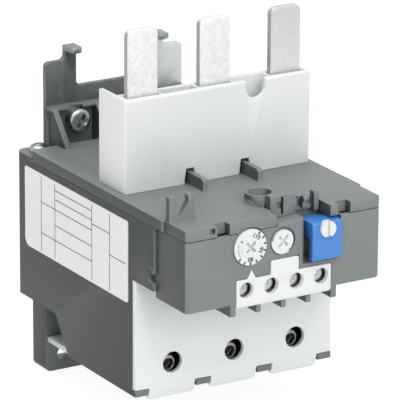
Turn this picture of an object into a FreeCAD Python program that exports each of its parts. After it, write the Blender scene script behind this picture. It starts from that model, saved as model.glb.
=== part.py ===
import FreeCAD, Part

import math
import os

# Three-pole thermal overload relay for motor circuits, in millimetres.
# The origin is the centre of the flat rear face that lies against the mounting panel.
# X runs to the right as seen from the front, Y into the panel, Z upwards.
# Three tinned lugs stand up from the deck, three lift clamps open at the bottom, and the
# control module with its dial, test disc, reset lever and four small terminals is in front.

Vector = FreeCAD.Vector

# Whole relay
HOUSING_MARGIN = 4.65
MODULE_INSET = 1.1
OVERALL_DEPTH = 122.0
DECK_Z = 31.5
RUNNING_GAP = 0.1
LOOSE_GAP = 0.3

# Pole housing
WALL = 2.2
PARTITION = 1.6
TERMINAL_PITCH = 26.1
REAR_HEIGHT = 54.1
FLOOR_Z = -41.0
SLOPE_SETBACK = 18.4
SLOPE_LENGTH = 9.7
HOUSING_CORNER = 2.0
REAR_CORNER = 3.5
RIM_RISE = 1.5
NECK_LENGTH = 12.7
NECK_HEIGHT = 23.6
LEDGE_DEPTH = 1.6
RIB_HEIGHT = 2.9

# Deck cover
LID_HEIGHT = 4.4
LID_PLATE = 2.0
LID_REAR_Y = -11.4
LID_FRONT_PART = 14.6
LID_SLIT = 0.4
LID_CORNER = 1.5
LID_REAR_CORNER = 2.5
SEAM_GROOVE = 0.4
SEAM_GROOVE_DEPTH = 0.8
LID_NOTCH_X = 25.2
LID_NOTCH_WIDTH = 5.2
LID_NOTCH_DEPTH = 3.5
LID_HOLE_OFFSET = 4.4
LID_HOLE = 2.0
FIN_THICKNESS = 2.0
FIN_SPACING = 23.2
FIN_HEIGHT = 4.6
FIN_ROUND = 1.6
FIN_REACH = 10.6
FIN_ROOT = 8.0
BOSS_X = -1.1
BOSS_SETBACK = 15.4
BOSS_RADIUS = 5.3
BOSS_BORE = 4.5
BOSS_HEIGHT = 4.2
BOSS_RECESS = 5.4
HOLDER_INSET = 0.45
HOLDER_WIDTH = 10.4
HOLDER_POST = 2.7
HOLDER_DEPTH = 2.6
HOLDER_HEIGHT = 9.3
HOLDER_SILL = 1.6

# Rear tower, fixing bracket and foot
TOWER_HALF_WIDTH = 30.2
TOWER_TOP = 12.6
TOWER_WALL = 1.8
TOWER_LEDGE = 3.0
TOWER_LEDGE_THICK = 1.0
LEDGE_NOTCH_R = 2.6
GUSSET_THICK = 2.2
GUSSET_REACH = 9.6
POCKET_WIDTH = 16.2
BRACKET_CENTRE_X = -0.8
BRACKET_WIDTH = 59.0
BRACKET_SHEET = 2.0
BRACKET_SETBACK = 0.5
BRACKET_SHOULDER_Z = 61.0
BRACKET_POST_Z = 66.5
BRACKET_POST_WIDTH = 5.0
BRACKET_POST_SPACING = 37.4
BRACKET_SADDLE_Z = 50.5
HOOK_REACH = 5.6
BRACKET_SCREW_SPACING = 37.6
BRACKET_SCREW_Z = 39.0
BRACKET_SCREW_R = 2.2
BRACKET_HEAD_R = 4.4
BRACKET_HEAD_HEIGHT = 3.2
BRACKET_BOSS_LENGTH = 3.5
BRACKET_BOSS_R = 3.4
CROWN = 1.2
RIM_SCREW_INSET = 6.55
RIM_SCREW_Y = -6.0
RIM_SCREW_R = 1.7
RIM_HEAD_R = 3.6
RIM_HEAD_HEIGHT = 3.1
FOOT_WIDTH = 70.3
FOOT_DEPTH = 9.5
FOOT_DROP = 31.0
FOOT_WEB = 3.0
FOOT_RIB = 2.4
FOOT_HOLE_SPACING = 54.5
FOOT_HOLE_R = 2.7
FOOT_HOLE_RISE = 6.3
FOOT_CORNER = 2.5
SEAL_EYE_R = 4.1
SEAL_EYE_HOLE_R = 2.2
SEAL_EYE_PROUD = 0.3
SEAL_EYE_SHIFT = 1.6
SEAL_EYE_BLIND = 1.4
SEAL_EYE_SETBACK = 1.5
SEAL_EYE_RISE = 4.8

# Front control module
MODULE_DEPTH = 20.5
MODULE_HEIGHT = 26.5
MODULE_WALL = 2.0
CONTROL_FLOOR_Z = 12.6
PAD_HEIGHT = 1.2
BAY_LEFT_X = -3.2
BAY_RIGHT_X = 19.4
BAY_DEPTH = 12.5
BAY_LIP = 0.95
BAY_LIP_SETBACK = 5.8

# Auxiliary terminals
AUX_PITCH = 10.45
AUX_Z = 5.65
AUX_BLOCK_HALF = 22.2
AUX_BLOCK_BOTTOM = -3.4
AUX_PARTITION = 1.85
AUX_PLATE_HALF = 19.75
AUX_PLATE_BOTTOM = -0.5
AUX_PLATE_TOP = 9.8
AUX_PLATE_THICK = 1.4
AUX_PLATE_PROUD = 0.3
AUX_TAB_LEFT = -5.5
AUX_TAB_RIGHT = 6.1
AUX_TAB_TOP = 15.0
AUX_HOLE_R = 2.95
AUX_COLLAR_WALL = 0.55
AUX_COLLAR_LENGTH = 0.9
AUX_POINTER_X = -13.6
AUX_POINTER_WIDTH = 4.0
AUX_POINTER_HEIGHT = 3.6
AUX_SCREW_R = 1.7
AUX_HEAD_R = 2.65
AUX_HEAD_HEIGHT = 2.0
AUX_SCREW_LENGTH = 7.0
AUX_TRAVEL = 1.8
AUX_SADDLE_HALF = 3.5
AUX_SADDLE_THICK = 1.0
AUX_STRIP_THICK = 1.1
AUX_SADDLE_SETBACK = 5.1

# Lug shroud
SHROUD_CENTRE_X = 0.8
SHROUD_MARGIN = 2.85
SHROUD_SETBACK = 13.4
SHROUD_HEIGHT = 35.15
SHROUD_WALL = 1.8
SHROUD_WING = 18.6
SHROUD_CORNER = 1.2
CHANNEL_DEPTH = 5.0
CHANNEL_REAR_WALL = 1.6
DIVIDER = 1.2
SHROUD_NOTCH_X = 16.5
SHROUD_NOTCH_WIDTH = 8.2
SHROUD_NOTCH_DEPTH = 7.0
FIN_NOTCH_WIDTH = 5.0
FIN_NOTCH_HEIGHT = 5.8

# Conductors, heaters and bimetals
LUG_PITCH = 30.0
LUG_WIDTH = 12.6
LUG_THICK = 2.6
LUG_RISE = 60.0
LUG_SETBACK = 3.0
LUG_CORNER = 2.5
LUG_LEG_Z = 10.0
LUG_LEG_LENGTH = 21.9
BAR_SETBACK = 15.2
BAR_THICK = 2.5
BAR_WIDTH = 11.0
BAR_SHELF_Z = -14.0
BAR_BOTTOM_Z = -37.0
BAR_SHELF_GAP = 1.05
BAR_SHELF_LENGTH = 35.6
BAR_NECK = 6.3
BIMETAL_THICK = 1.2
BIMETAL_WIDTH = 6.0
BIMETAL_SETBACK = 29.6
BIMETAL_FOOT = 5.0
BIMETAL_TOP_Z = 22.4
HEATER_TURNS = 6
HEATER_PITCH = 3.6
HEATER_TAPE = 1.6
HEATER_GAUGE = 1.0
HEATER_GAP = 0.6
HEATER_RISE = 3.2

# Lower terminals
COVER_WALL = 2.0
COVER_BOTTOM_Z = -38.5
COVER_LIP_WIDTH = 19.4
COVER_LIP_DROP = 5.0
COVER_LIP_SLANT = 1.4
ACCESS_HOLE_R = 4.0
ACCESS_HOLE_Z = -30.15
CLAMP_DROP = 1.7
CLAMP_TRAVEL = 6.0
CLAMP_OPENING = 8.0
CLAMP_HEIGHT = 9.0
CLAMP_SIDE = 1.6
CLAMP_FRONT_WALL = 2.4
CLAMP_REAR_WALL = 2.2
CLAMP_SCREW_R = 3.9
CLAMP_HEAD_R = 4.5
CLAMP_HEAD_HEIGHT = 3.0
CLAMP_SOCKET = 5.0
CLAMP_SOCKET_DEPTH = 2.4
TRAY_WIDTH = 68.4
TRAY_THICK = 2.0
TRAY_SETBACK = 30.8

# Side label
LABEL_SETBACK = 5.0
LABEL_REAR_Y = -7.6
LABEL_TOP_Z = 24.6
LABEL_BOTTOM_Z = -6.2
LABEL_THICK = 0.3
LABEL_CORNER = 3.0
LABEL_SMALL_CORNER = 1.0

# Setting dial and test disc
DIAL_X = -14.2
DIAL_Z = 21.6
DIAL_R = 6.7
DIAL_THICK = 1.3
DIAL_BOSS_R = 3.7
DIAL_SHAFT_R = 2.4
DIAL_CAM_R = 3.4
DIAL_CAM_OFFSET = 0.9
DIAL_CAM_SETBACK = 1.4
DIAL_CAM_THICK = 1.8
DIAL_BOSS_PROUD = 0.3
DIAL_BOSS_SUNK = 0.5
DISC_SHAFT_REACH = 3.6
TEST_X = -0.6
TEST_R = 4.8
TEST_STEP = 0.6
TEST_STEP_START = 150
TEST_STEP_END = 275
TEST_SHAFT_R = 2.0
RECESS_DEPTH = 1.0
CROSS_SLOT_WIDTH = 1.1
CROSS_SLOT_DEPTH = 1.0

# Reset lever
LEVER_X = 16.5
LEVER_WIDTH = 12.2
LEVER_TOP_Z = 26.6
LEVER_HEIGHT = 14.1
LEVER_PROUD = 2.5
LEVER_PLATE = 2.2
LEVER_TOP_PLATE = 1.8
LEVER_LENGTH = 10.4
LEVER_CHEEK_HEIGHT = 5.6
LEVER_CLEARANCE = 1.2
LEVER_STEM_R = 1.6
LEVER_STEM_LENGTH = 12.3
STUD_R = 3.1
STUD_LENGTH = 2.2
STUD_Z = 24.0
STUD_SLOT = 0.8
SPRING_WIRE = 0.5
SPRING_TURNS = 4
SPRING_SIDES = 12
POCKET_DEPTH = 10.0
POCKET_WALL = 1.2
POCKET_CORNER = 2.5

# Trip mechanism
SLIDE_Z = 20.0
SLIDE_THICK = 1.8
SLIDE_TRAVEL = 2.0
SLIDE_HALF_LENGTH = 33.0
SLIDE_MARGIN = 3.0
SLIDE_ARM_X = -12.0
SLIDE_ARM_WIDTH = 3.8
SLIDE_ARM_SETBACK = 15.0
SLIDE_STACK_GAP = 0.3
TRIP_PIVOT_X = -7.4
TRIP_PIVOT_SETBACK = 5.0
TRIP_PIN_R = 0.8
TRIP_HUB_R = 2.2
TRIP_LEVER_Z = 14.8
TRIP_LEVER_THICK = 1.6
TRIP_FINGER_OFFSET = 8.0
STRIP_THICK = 0.8
STRIP_END_SETBACK = 16.6
CARRIER_SETBACK = 14.4
CARRIER_DEPTH = 2.0
CARRIER_HALF = 19.0
CONTACT_STRIP = 0.6
CONTACT_TRAVEL = 1.45
CONTACT_POST = 1.0
FRAME_SETBACK = 6.4
FRAME_DEPTH = 3.2
FRAME_TOP_Z = 36.3
FRAME_BASE = 1.6
FRAME_SLIT = 1.0
FRAME_SLIT_PLACE = 4.5
LEAF_PLACE = 12.3
LEAF_WIDTH = 2.2
PAWL_PLACE = 15.2
PAWL_WIDTH = 2.0

# Places that follow from the sizes above
HALF_HOUSING = SHROUD_CENTRE_X + LUG_PITCH + LUG_WIDTH / 2 + HOUSING_MARGIN
HALF_MODULE = HALF_HOUSING - MODULE_INSET
HALF_SHROUD = LUG_PITCH + LUG_WIDTH / 2 + SHROUD_MARGIN
SEAM_Z = DECK_Z - LID_HEIGHT
REAR_BOTTOM_Z = SEAM_Z - REAR_HEIGHT
FRONT_Y = -OVERALL_DEPTH
MODULE_BACK_Y = FRONT_Y + MODULE_DEPTH
MODULE_BOTTOM_Z = SEAM_Z - MODULE_HEIGHT
NECK_BOTTOM_Z = SEAM_Z - NECK_HEIGHT
POCKET_BACK_Y = FRONT_Y + POCKET_DEPTH
TRIP_PIVOT_Y = FRONT_Y + TRIP_PIVOT_SETBACK
CARRIER_FRONT_Y = FRONT_Y + CARRIER_SETBACK
STRIP_END_Y = FRONT_Y + STRIP_END_SETBACK
SLIDE_ARM_TIP_Y = FRONT_Y + SLIDE_ARM_SETBACK
FRAME_FRONT_Y = FRONT_Y + FRAME_SETBACK
BOSS_Y = FRONT_Y + BOSS_SETBACK
HOLDER_X = -HALF_MODULE + HOLDER_INSET
RIM_SCREW_X = HALF_HOUSING - RIM_SCREW_INSET
COVER_FRONT_Y = MODULE_BACK_Y + NECK_LENGTH
COVER_BACK_Y = COVER_FRONT_Y + COVER_WALL
SHROUD_FRONT_Y = COVER_FRONT_Y + SHROUD_SETBACK
LUG_FRONT_Y = SHROUD_FRONT_Y + LUG_SETBACK
LUG_LEG_REAR_Y = LUG_FRONT_Y + LUG_LEG_LENGTH
BAR_FRONT_Y = COVER_FRONT_Y + BAR_SETBACK
BAR_SHELF_REAR_Y = BAR_FRONT_Y + BAR_SHELF_LENGTH
BIMETAL_REAR_Y = BAR_FRONT_Y + BIMETAL_SETBACK
TRAY_FRONT_Y = COVER_FRONT_Y + TRAY_SETBACK
LABEL_FRONT_Y = COVER_FRONT_Y + LABEL_SETBACK
SLOPE_BOTTOM_Y = TRAY_FRONT_Y + SLOPE_SETBACK
SLOPE_TOP_Y = SLOPE_BOTTOM_Y + SLOPE_LENGTH
FOOT_FRONT_Y = -FOOT_DEPTH - BRACKET_SETBACK
FOOT_BOTTOM_Z = REAR_BOTTOM_Z - FOOT_DROP
BRACKET_BACK_Y = -BRACKET_SETBACK
BRACKET_FRONT_Y = BRACKET_BACK_Y - BRACKET_SHEET
TOWER_BACK_Y = BRACKET_FRONT_Y
TOWER_FRONT_Y = TOWER_BACK_Y - TOWER_WALL
PAD_Z = SEAM_Z + PAD_HEIGHT
CLAMP_Z = ACCESS_HOLE_Z - CLAMP_DROP
BAR_BACK_Y = BAR_FRONT_Y + BAR_THICK
CLAMP_INNER_HALF = BAR_WIDTH / 2 + 0.6
CLAMP_FRONT_BACK_Y = BAR_FRONT_Y - 0.2
CLAMP_REAR_INNER_Y = BAR_BACK_Y + CLAMP_OPENING
CLAMP_HEAD_BACK_Y = CLAMP_FRONT_BACK_Y - CLAMP_FRONT_WALL - CLAMP_TRAVEL - 0.2
POLE_CENTRES = [TERMINAL_PITCH * i for i in (-1, 0, 1)]
LUG_CENTRES = [SHROUD_CENTRE_X + LUG_PITCH * i for i in (-1, 0, 1)]
AUX_CENTRES = [AUX_PITCH * i for i in (-1.5, -0.5, 0.5, 1.5)]
BIMETAL_FRONT_Y = BIMETAL_REAR_Y - BIMETAL_WIDTH
AUX_SADDLE_BACK_Y = FRONT_Y + AUX_SADDLE_SETBACK
AUX_PLATE_FRONT_Y = FRONT_Y - AUX_PLATE_PROUD
AUX_PLATE_BACK_Y = AUX_PLATE_FRONT_Y + AUX_PLATE_THICK
LEVER_FRONT_Y = FRONT_Y - LEVER_PROUD
CONTACT_BRIDGE_Y = CARRIER_FRONT_Y + 0.4


def box(x0, x1, y0, y1, z0, z1):
    """Block between two opposite corners."""
    return Part.makeBox(x1 - x0, y1 - y0, z1 - z0, Vector(x0, y0, z0))


def rod_x(radius, x0, x1, y, z):
    """Round bar along X."""
    return Part.makeCylinder(radius, x1 - x0, Vector(x0, y, z), Vector(1, 0, 0))


def rod_y(radius, y0, y1, x, z):
    """Round bar along Y."""
    return Part.makeCylinder(radius, y1 - y0, Vector(x, y0, z), Vector(0, 1, 0))


def rod_z(radius, z0, z1, x, y):
    """Round bar along Z."""
    return Part.makeCylinder(radius, z1 - z0, Vector(x, y, z0), Vector(0, 0, 1))


def profile_yz(points, x0, x1):
    """Closed outline of (y, z) points, carried along X."""
    corners = [Vector(x0, y, z) for y, z in points]
    face = Part.Face(Part.makePolygon(corners + corners[:1]))
    return face.extrude(Vector(x1 - x0, 0, 0))


def profile_xz(points, y0, y1):
    """Closed outline of (x, z) points, carried along Y."""
    corners = [Vector(x, y0, z) for x, z in points]
    face = Part.Face(Part.makePolygon(corners + corners[:1]))
    return face.extrude(Vector(0, y1 - y0, 0))


def profile_xy(points, z0, z1):
    """Closed outline of (x, y) points, carried along Z."""
    corners = [Vector(x, y, z0) for x, y in points]
    face = Part.Face(Part.makePolygon(corners + corners[:1]))
    return face.extrude(Vector(0, 0, z1 - z0))


def join(first, *others):
    """One solid from several that touch."""
    return first.multiFuse(list(others)).removeSplitter()


def cut(shape, *tools):
    """The shape without the tools."""
    return shape.cut(Part.makeCompound(list(tools)))


def rounded(shape, radius, direction, wanted):
    """Round the straight edges along one axis whose middle point is wanted."""
    edges = []
    for edge in shape.Edges:
        span = edge.Vertexes[-1].Point - edge.Vertexes[0].Point
        straight = isinstance(edge.Curve, (Part.Line, Part.LineSegment)) and span.Length > 0
        if straight and abs(abs(span.normalize().dot(direction)) - 1) < 1e-6 and wanted(edge.CenterOfMass):
            edges.append(edge)
    return shape.makeFillet(radius, edges)


ALONG_X = Vector(1, 0, 0)
ALONG_Y = Vector(0, 1, 0)
ALONG_Z = Vector(0, 0, 1)


def chamber_limits():
    """Left and right faces of the three pole chambers."""
    inner = HALF_HOUSING - WALL
    middle = TERMINAL_PITCH / 2
    half = PARTITION / 2
    return [(-inner, -middle - half), (-middle + half, middle - half), (middle + half, inner)]


def housing_chambers():
    """Hollows of the pole housing, open at the top and behind the lower cover."""
    front = MODULE_BACK_Y + WALL
    outline = [
        (-WALL, SEAM_Z + 1),
        (-WALL, REAR_BOTTOM_Z + WALL),
        (SLOPE_TOP_Y + WALL / 2, REAR_BOTTOM_Z + WALL),
        (SLOPE_BOTTOM_Y + WALL / 2, FLOOR_Z + WALL),
        (COVER_BACK_Y - 1, FLOOR_Z + WALL),
        (COVER_BACK_Y - 1, NECK_BOTTOM_Z + WALL),
        (front, NECK_BOTTOM_Z + WALL),
        (front, SEAM_Z + 1),
    ]
    tower_seat = box(-HALF_HOUSING, HALF_HOUSING, LID_REAR_Y - WALL, 0, SEAM_Z - WALL, SEAM_Z + 2)
    return [cut(profile_yz(outline, left, right), tower_seat) for left, right in chamber_limits()]


def housing_shell():
    """Moulded outer form of the pole housing."""
    outline = [
        (0, SEAM_Z),
        (0, REAR_BOTTOM_Z),
        (SLOPE_TOP_Y, REAR_BOTTOM_Z),
        (SLOPE_BOTTOM_Y, FLOOR_Z),
        (COVER_BACK_Y, FLOOR_Z),
        (COVER_BACK_Y, NECK_BOTTOM_Z),
        (MODULE_BACK_Y, NECK_BOTTOM_Z),
        (MODULE_BACK_Y, SEAM_Z),
    ]
    shell = profile_yz(outline, -HALF_HOUSING, HALF_HOUSING)

    def lower_rear(point):
        return point.z < REAR_BOTTOM_Z + 1 and point.y > COVER_BACK_Y + 1

    return rounded(shell, HOUSING_CORNER, ALONG_X, lower_rear)


def bar_shelf_front_y():
    """Front edge of the wide part of a terminal bar's shelf."""
    return BAR_BACK_Y + CLAMP_OPENING + BAR_NECK


def terminal_ledges():
    """Ledges in each chamber that carry the terminal bar."""
    ledges = []
    top = BAR_SHELF_Z - BAR_THICK
    reach = BAR_SHELF_GAP + LEDGE_DEPTH
    for left, right in chamber_limits():
        for x0, x1 in ((left - PARTITION / 2, left + reach), (right - reach, right + PARTITION / 2)):
            ledges.append(box(x0, x1, bar_shelf_front_y(), BAR_SHELF_REAR_Y, top - WALL, top))
    return ledges


def foot():
    """Fixing foot below the housing: a web with a rib round its edge, open at the rear."""
    half = FOOT_WIDTH / 2
    top = REAR_BOTTOM_Z + HOUSING_CORNER
    body = box(-half, half, FOOT_FRONT_Y, BRACKET_BACK_Y, FOOT_BOTTOM_Z, top)
    body = rounded(body, FOOT_CORNER, ALONG_Y, lambda p: p.z < FOOT_BOTTOM_Z + 1)
    hollow = box(-half + FOOT_RIB, half - FOOT_RIB, FOOT_FRONT_Y + FOOT_WEB, 1, FOOT_BOTTOM_Z + FOOT_RIB,
                 REAR_BOTTOM_Z)
    centre_rib = box(-FOOT_RIB / 2, FOOT_RIB / 2, FOOT_FRONT_Y, BRACKET_BACK_Y, FOOT_BOTTOM_Z + 1,
                     REAR_BOTTOM_Z + 1)
    hole_z = FOOT_BOTTOM_Z + FOOT_HOLE_RISE
    holes = []
    for side in (-1, 1):
        holes.append(rod_y(FOOT_HOLE_R, FOOT_FRONT_Y - 1, 1, side * FOOT_HOLE_SPACING / 2, hole_z))
    return cut(join(cut(body, hollow), centre_rib), *holes)


def tower_screw_places():
    """X of the two screws that hold the bracket."""
    return [BRACKET_CENTRE_X + side * BRACKET_SCREW_SPACING / 2 for side in (-1, 1)]


def tower():
    """Rear wall with a ledge and gussets, in front of the fixing bracket."""
    left = BRACKET_CENTRE_X - TOWER_HALF_WIDTH
    right = BRACKET_CENTRE_X + TOWER_HALF_WIDTH
    top = DECK_Z + TOWER_TOP
    wall = box(left, right, TOWER_FRONT_Y, TOWER_BACK_Y, SEAM_Z - WALL, top)
    ledge = box(left, right, TOWER_FRONT_Y - TOWER_LEDGE, TOWER_FRONT_Y, top - TOWER_LEDGE_THICK, top)
    pieces = [ledge]
    gusset_front = TOWER_FRONT_Y - TOWER_LEDGE - GUSSET_REACH
    outline = [
        (TOWER_FRONT_Y, SEAM_Z - WALL),
        (TOWER_FRONT_Y, top),
        (TOWER_FRONT_Y - TOWER_LEDGE, top),
        (gusset_front, DECK_Z + 0.6),
        (gusset_front, SEAM_Z),
        (LID_REAR_Y, SEAM_Z - WALL),
    ]
    for screw_x in tower_screw_places():
        for side in (-1, 1):
            middle = screw_x + side * (POCKET_WIDTH + GUSSET_THICK) / 2
            pieces.append(profile_yz(outline, middle - GUSSET_THICK / 2, middle + GUSSET_THICK / 2))
        boss_front = TOWER_FRONT_Y - BRACKET_BOSS_LENGTH
        pieces.append(rod_y(BRACKET_BOSS_R, boss_front, TOWER_FRONT_Y, screw_x, BRACKET_SCREW_Z))
    body = join(wall, *pieces)
    tools = []
    for screw_x in tower_screw_places():
        tools.append(rod_y(BRACKET_SCREW_R + RUNNING_GAP, -OVERALL_DEPTH / 2, 1, screw_x, BRACKET_SCREW_Z))
        tools.append(rod_z(LEDGE_NOTCH_R, top - TOWER_LEDGE_THICK - 0.5, top + 1, screw_x,
                           TOWER_FRONT_Y - TOWER_LEDGE + 0.4))
    return cut(body, *tools)


def seal_eye():
    """Round boss with a blind hole low on the left side, for a clip-on accessory."""
    centre_y = MODULE_BACK_Y + SEAL_EYE_SETBACK
    centre_z = NECK_BOTTOM_Z + SEAL_EYE_RISE
    outer = -HALF_HOUSING - SEAL_EYE_PROUD
    ring = rod_x(SEAL_EYE_R, outer, -HALF_HOUSING + LOOSE_GAP, centre_y + SEAL_EYE_SHIFT, centre_z)
    ring = cut(ring, box(outer - 1, 0, FRONT_Y, MODULE_BACK_Y + RUNNING_GAP, NECK_BOTTOM_Z, SEAM_Z))
    hole = rod_x(SEAL_EYE_HOLE_R, outer - 1, -HALF_HOUSING + SEAL_EYE_BLIND, centre_y, centre_z)
    return ring, hole


def rear_corners():
    """Waste outside the rounded upright corners at the rear of the housing."""
    waste = []
    for side in (-1, 1):
        x0, x1 = sorted((side * (HALF_HOUSING - REAR_CORNER), side * (HALF_HOUSING + 1)))
        block = box(x0, x1, -REAR_CORNER, 1, REAR_BOTTOM_Z - 1, DECK_Z)
        bar = rod_z(REAR_CORNER, REAR_BOTTOM_Z - 1, DECK_Z, side * (HALF_HOUSING - REAR_CORNER),
                    -REAR_CORNER)
        waste.append(cut(block, bar))
    return waste


def slide_rear_y():
    """Rear edge of the trip slides."""
    return BIMETAL_REAR_Y + SLIDE_MARGIN


def slide_front_y():
    """Front edge of the trip slides."""
    return BIMETAL_FRONT_Y - SLIDE_MARGIN


def slide_passages():
    """Openings in the partitions and the neck for the trip slides."""
    gap = LOOSE_GAP
    arm_left = SLIDE_ARM_X - gap
    arm_right = SLIDE_ARM_X + SLIDE_ARM_WIDTH + SLIDE_TRAVEL + gap
    middle = TERMINAL_PITCH / 2 + PARTITION
    notch = box(-middle, middle, slide_front_y() - gap, slide_rear_y() + gap, SLIDE_Z - 0.2, SEAM_Z + 1)
    window = box(arm_left, arm_right, MODULE_BACK_Y - MODULE_WALL - 1, MODULE_BACK_Y + WALL + 1,
                 SLIDE_Z - 0.5, SLIDE_Z + SLIDE_THICK + 0.7)
    return notch, window


def base_housing():
    """Pole housing with its chambers, tower, foot, sealing eye and latch tabs."""
    body = cut(housing_shell(), *housing_chambers())
    ring, eye_hole = seal_eye()
    additions = terminal_ledges() + [tower(), foot(), ring]
    for rib_x in (-TRAY_WIDTH / 2 + 1, -TERMINAL_PITCH / 2, TERMINAL_PITCH / 2, TRAY_WIDTH / 2 - 1):
        additions.append(box(rib_x - 1, rib_x + 1, TRAY_FRONT_Y, SLOPE_BOTTOM_Y - 3, FLOOR_Z - RIB_HEIGHT,
                             FLOOR_Z + 1))
    for tab_left, tab_right in latch_tabs():
        additions.append(box(tab_left, tab_right, COVER_FRONT_Y, COVER_BACK_Y + 1, FLOOR_Z,
                             COVER_BOTTOM_Z - 0.2))
    additions.append(box(-HALF_HOUSING, HALF_HOUSING, LID_REAR_Y + LOOSE_GAP, 0, SEAM_Z - 1,
                         SEAM_Z + RIM_RISE))
    body = join(body, *additions)
    tools = list(slide_passages()) + [eye_hole] + rear_corners()
    bracket_half = BRACKET_WIDTH / 2 + LOOSE_GAP
    tools.append(box(BRACKET_CENTRE_X - bracket_half, BRACKET_CENTRE_X + bracket_half, BRACKET_FRONT_Y, 1,
                     SEAM_Z, DECK_Z + TOWER_TOP))
    for centre in POLE_CENTRES:
        tools.append(box(centre - CLAMP_INNER_HALF, centre + CLAMP_INNER_HALF, BAR_BACK_Y,
                         CLAMP_REAR_INNER_Y, FLOOR_Z - 1, FLOOR_Z + WALL + 1))
    for side in (-1, 1):
        tools.append(rod_z(RIM_SCREW_R + RUNNING_GAP, SEAM_Z - WALL - 1, SEAM_Z + RIM_RISE + 1,
                           side * RIM_SCREW_X, RIM_SCREW_Y))
    return cut(body, *tools)


def latch_tabs():
    """Left and right ends of the floor tabs that show between the cover's lips."""
    edges = [-HALF_HOUSING]
    for centre in POLE_CENTRES:
        edges += [centre - COVER_LIP_WIDTH / 2 - LOOSE_GAP, centre + COVER_LIP_WIDTH / 2 + LOOSE_GAP]
    edges.append(HALF_HOUSING)
    return list(zip(edges[0::2], edges[1::2]))


def barrier_fins():
    """Curved barriers that run forward from under the shroud."""
    fins = []
    rear = SHROUD_FRONT_Y + FIN_ROOT
    front = SHROUD_FRONT_Y - FIN_REACH
    for side in (-1, 1):
        centre = SHROUD_CENTRE_X - 0.2 + side * FIN_SPACING / 2
        slab = box(centre - FIN_THICKNESS / 2, centre + FIN_THICKNESS / 2, front, rear, DECK_Z,
                   DECK_Z + FIN_HEIGHT)
        fins.append(rounded(slab, FIN_ROUND, ALONG_X, lambda p: p.y < front + 1 and p.z > DECK_Z + 1))
    return fins


def deck_boss():
    """Round cup on the deck with a triangular window at its foot."""
    cup = rod_z(BOSS_RADIUS, DECK_Z - 0.5, DECK_Z + BOSS_HEIGHT, BOSS_X, BOSS_Y)
    bore = rod_z(BOSS_BORE, DECK_Z + BOSS_HEIGHT - BOSS_RECESS, DECK_Z + BOSS_HEIGHT + 1, BOSS_X, BOSS_Y)
    window = profile_xz([(BOSS_X - 7, DECK_Z), (BOSS_X - 1.7, DECK_Z), (BOSS_X - 7, DECK_Z + 4.0)],
                        BOSS_Y - BOSS_RADIUS - 1, BOSS_Y + 3.2)
    return cut(cup, bore, window)


def cable_holder():
    """Upright U at the left front of the deck."""
    rear = FRONT_Y + LID_FRONT_PART
    right = HOLDER_X + HOLDER_WIDTH
    outline = [
        (HOLDER_X, DECK_Z - 0.5),
        (HOLDER_X, DECK_Z + HOLDER_HEIGHT),
        (HOLDER_X + HOLDER_POST, DECK_Z + HOLDER_HEIGHT),
        (HOLDER_X + HOLDER_POST, DECK_Z + HOLDER_SILL),
        (right - HOLDER_POST - 3, DECK_Z + HOLDER_SILL),
        (right - HOLDER_POST, DECK_Z + HOLDER_SILL + 5),
        (right - HOLDER_POST, DECK_Z + HOLDER_HEIGHT),
        (right, DECK_Z + HOLDER_HEIGHT),
        (right, DECK_Z - 0.5),
    ]
    body = profile_xz(outline, rear - HOLDER_DEPTH, rear)
    return rounded(body, 0.8, ALONG_Y, lambda p: p.z > DECK_Z + HOLDER_HEIGHT - 1)


def lid_cuts():
    """Openings of the deck cover: bay, notches, slits, lug slots and gusset slots."""
    top = DECK_Z + 1
    lip_y = FRONT_Y + BAY_LIP_SETBACK
    bay_rear = FRONT_Y + BAY_DEPTH
    tools = [
        box(BAY_LEFT_X, BAY_RIGHT_X, FRONT_Y - 1, lip_y, SEAM_Z - 1, top),
        box(BAY_LEFT_X + BAY_LIP, BAY_RIGHT_X, lip_y - 1, bay_rear, SEAM_Z - 1, top),
        box(BAY_LEFT_X, BAY_LEFT_X + BAY_LIP + 1, lip_y - 1, bay_rear, SEAM_Z - 1, PAD_Z + LOOSE_GAP),
    ]
    for side in (-1, 1):
        notch_x = side * LID_NOTCH_X
        tools.append(box(notch_x - LID_NOTCH_WIDTH / 2, notch_x + LID_NOTCH_WIDTH / 2, FRONT_Y - 1,
                         FRONT_Y + LID_NOTCH_DEPTH, SEAM_Z - 1, top))
        slit_y = FRONT_Y + LID_FRONT_PART
        slit_x = sorted((side * (HALF_MODULE - WALL), side * (HALF_HOUSING + 1)))
        tools.append(box(slit_x[0], slit_x[1], slit_y, slit_y + LID_SLIT, SEAM_Z - 1, top))
    hole_x = -LID_NOTCH_X - LID_HOLE_OFFSET
    tools.append(box(hole_x - LID_HOLE / 2, hole_x + LID_HOLE / 2, FRONT_Y - 1, FRONT_Y + 1.5,
                     DECK_Z - 0.6 - LID_HOLE, DECK_Z - 0.6))
    tools.append(rod_y(DIAL_R + 0.6, FRONT_Y - 1, FRONT_Y + RECESS_DEPTH, DIAL_X, DIAL_Z))
    for centre in LUG_CENTRES:
        tools.append(box(centre - LUG_WIDTH / 2 - LOOSE_GAP, centre + LUG_WIDTH / 2 + LOOSE_GAP,
                         LUG_FRONT_Y - LOOSE_GAP, LUG_FRONT_Y + LUG_THICK + LOOSE_GAP, SEAM_Z - 1, top))
    gusset_front = TOWER_FRONT_Y - TOWER_LEDGE - GUSSET_REACH
    for screw_x in tower_screw_places():
        for side in (-1, 1):
            middle = screw_x + side * (POCKET_WIDTH + GUSSET_THICK) / 2
            half = GUSSET_THICK / 2 + LOOSE_GAP
            tools.append(box(middle - half, middle + half, gusset_front - LOOSE_GAP, 1, SEAM_Z - 1, top))
    return tools


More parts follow.
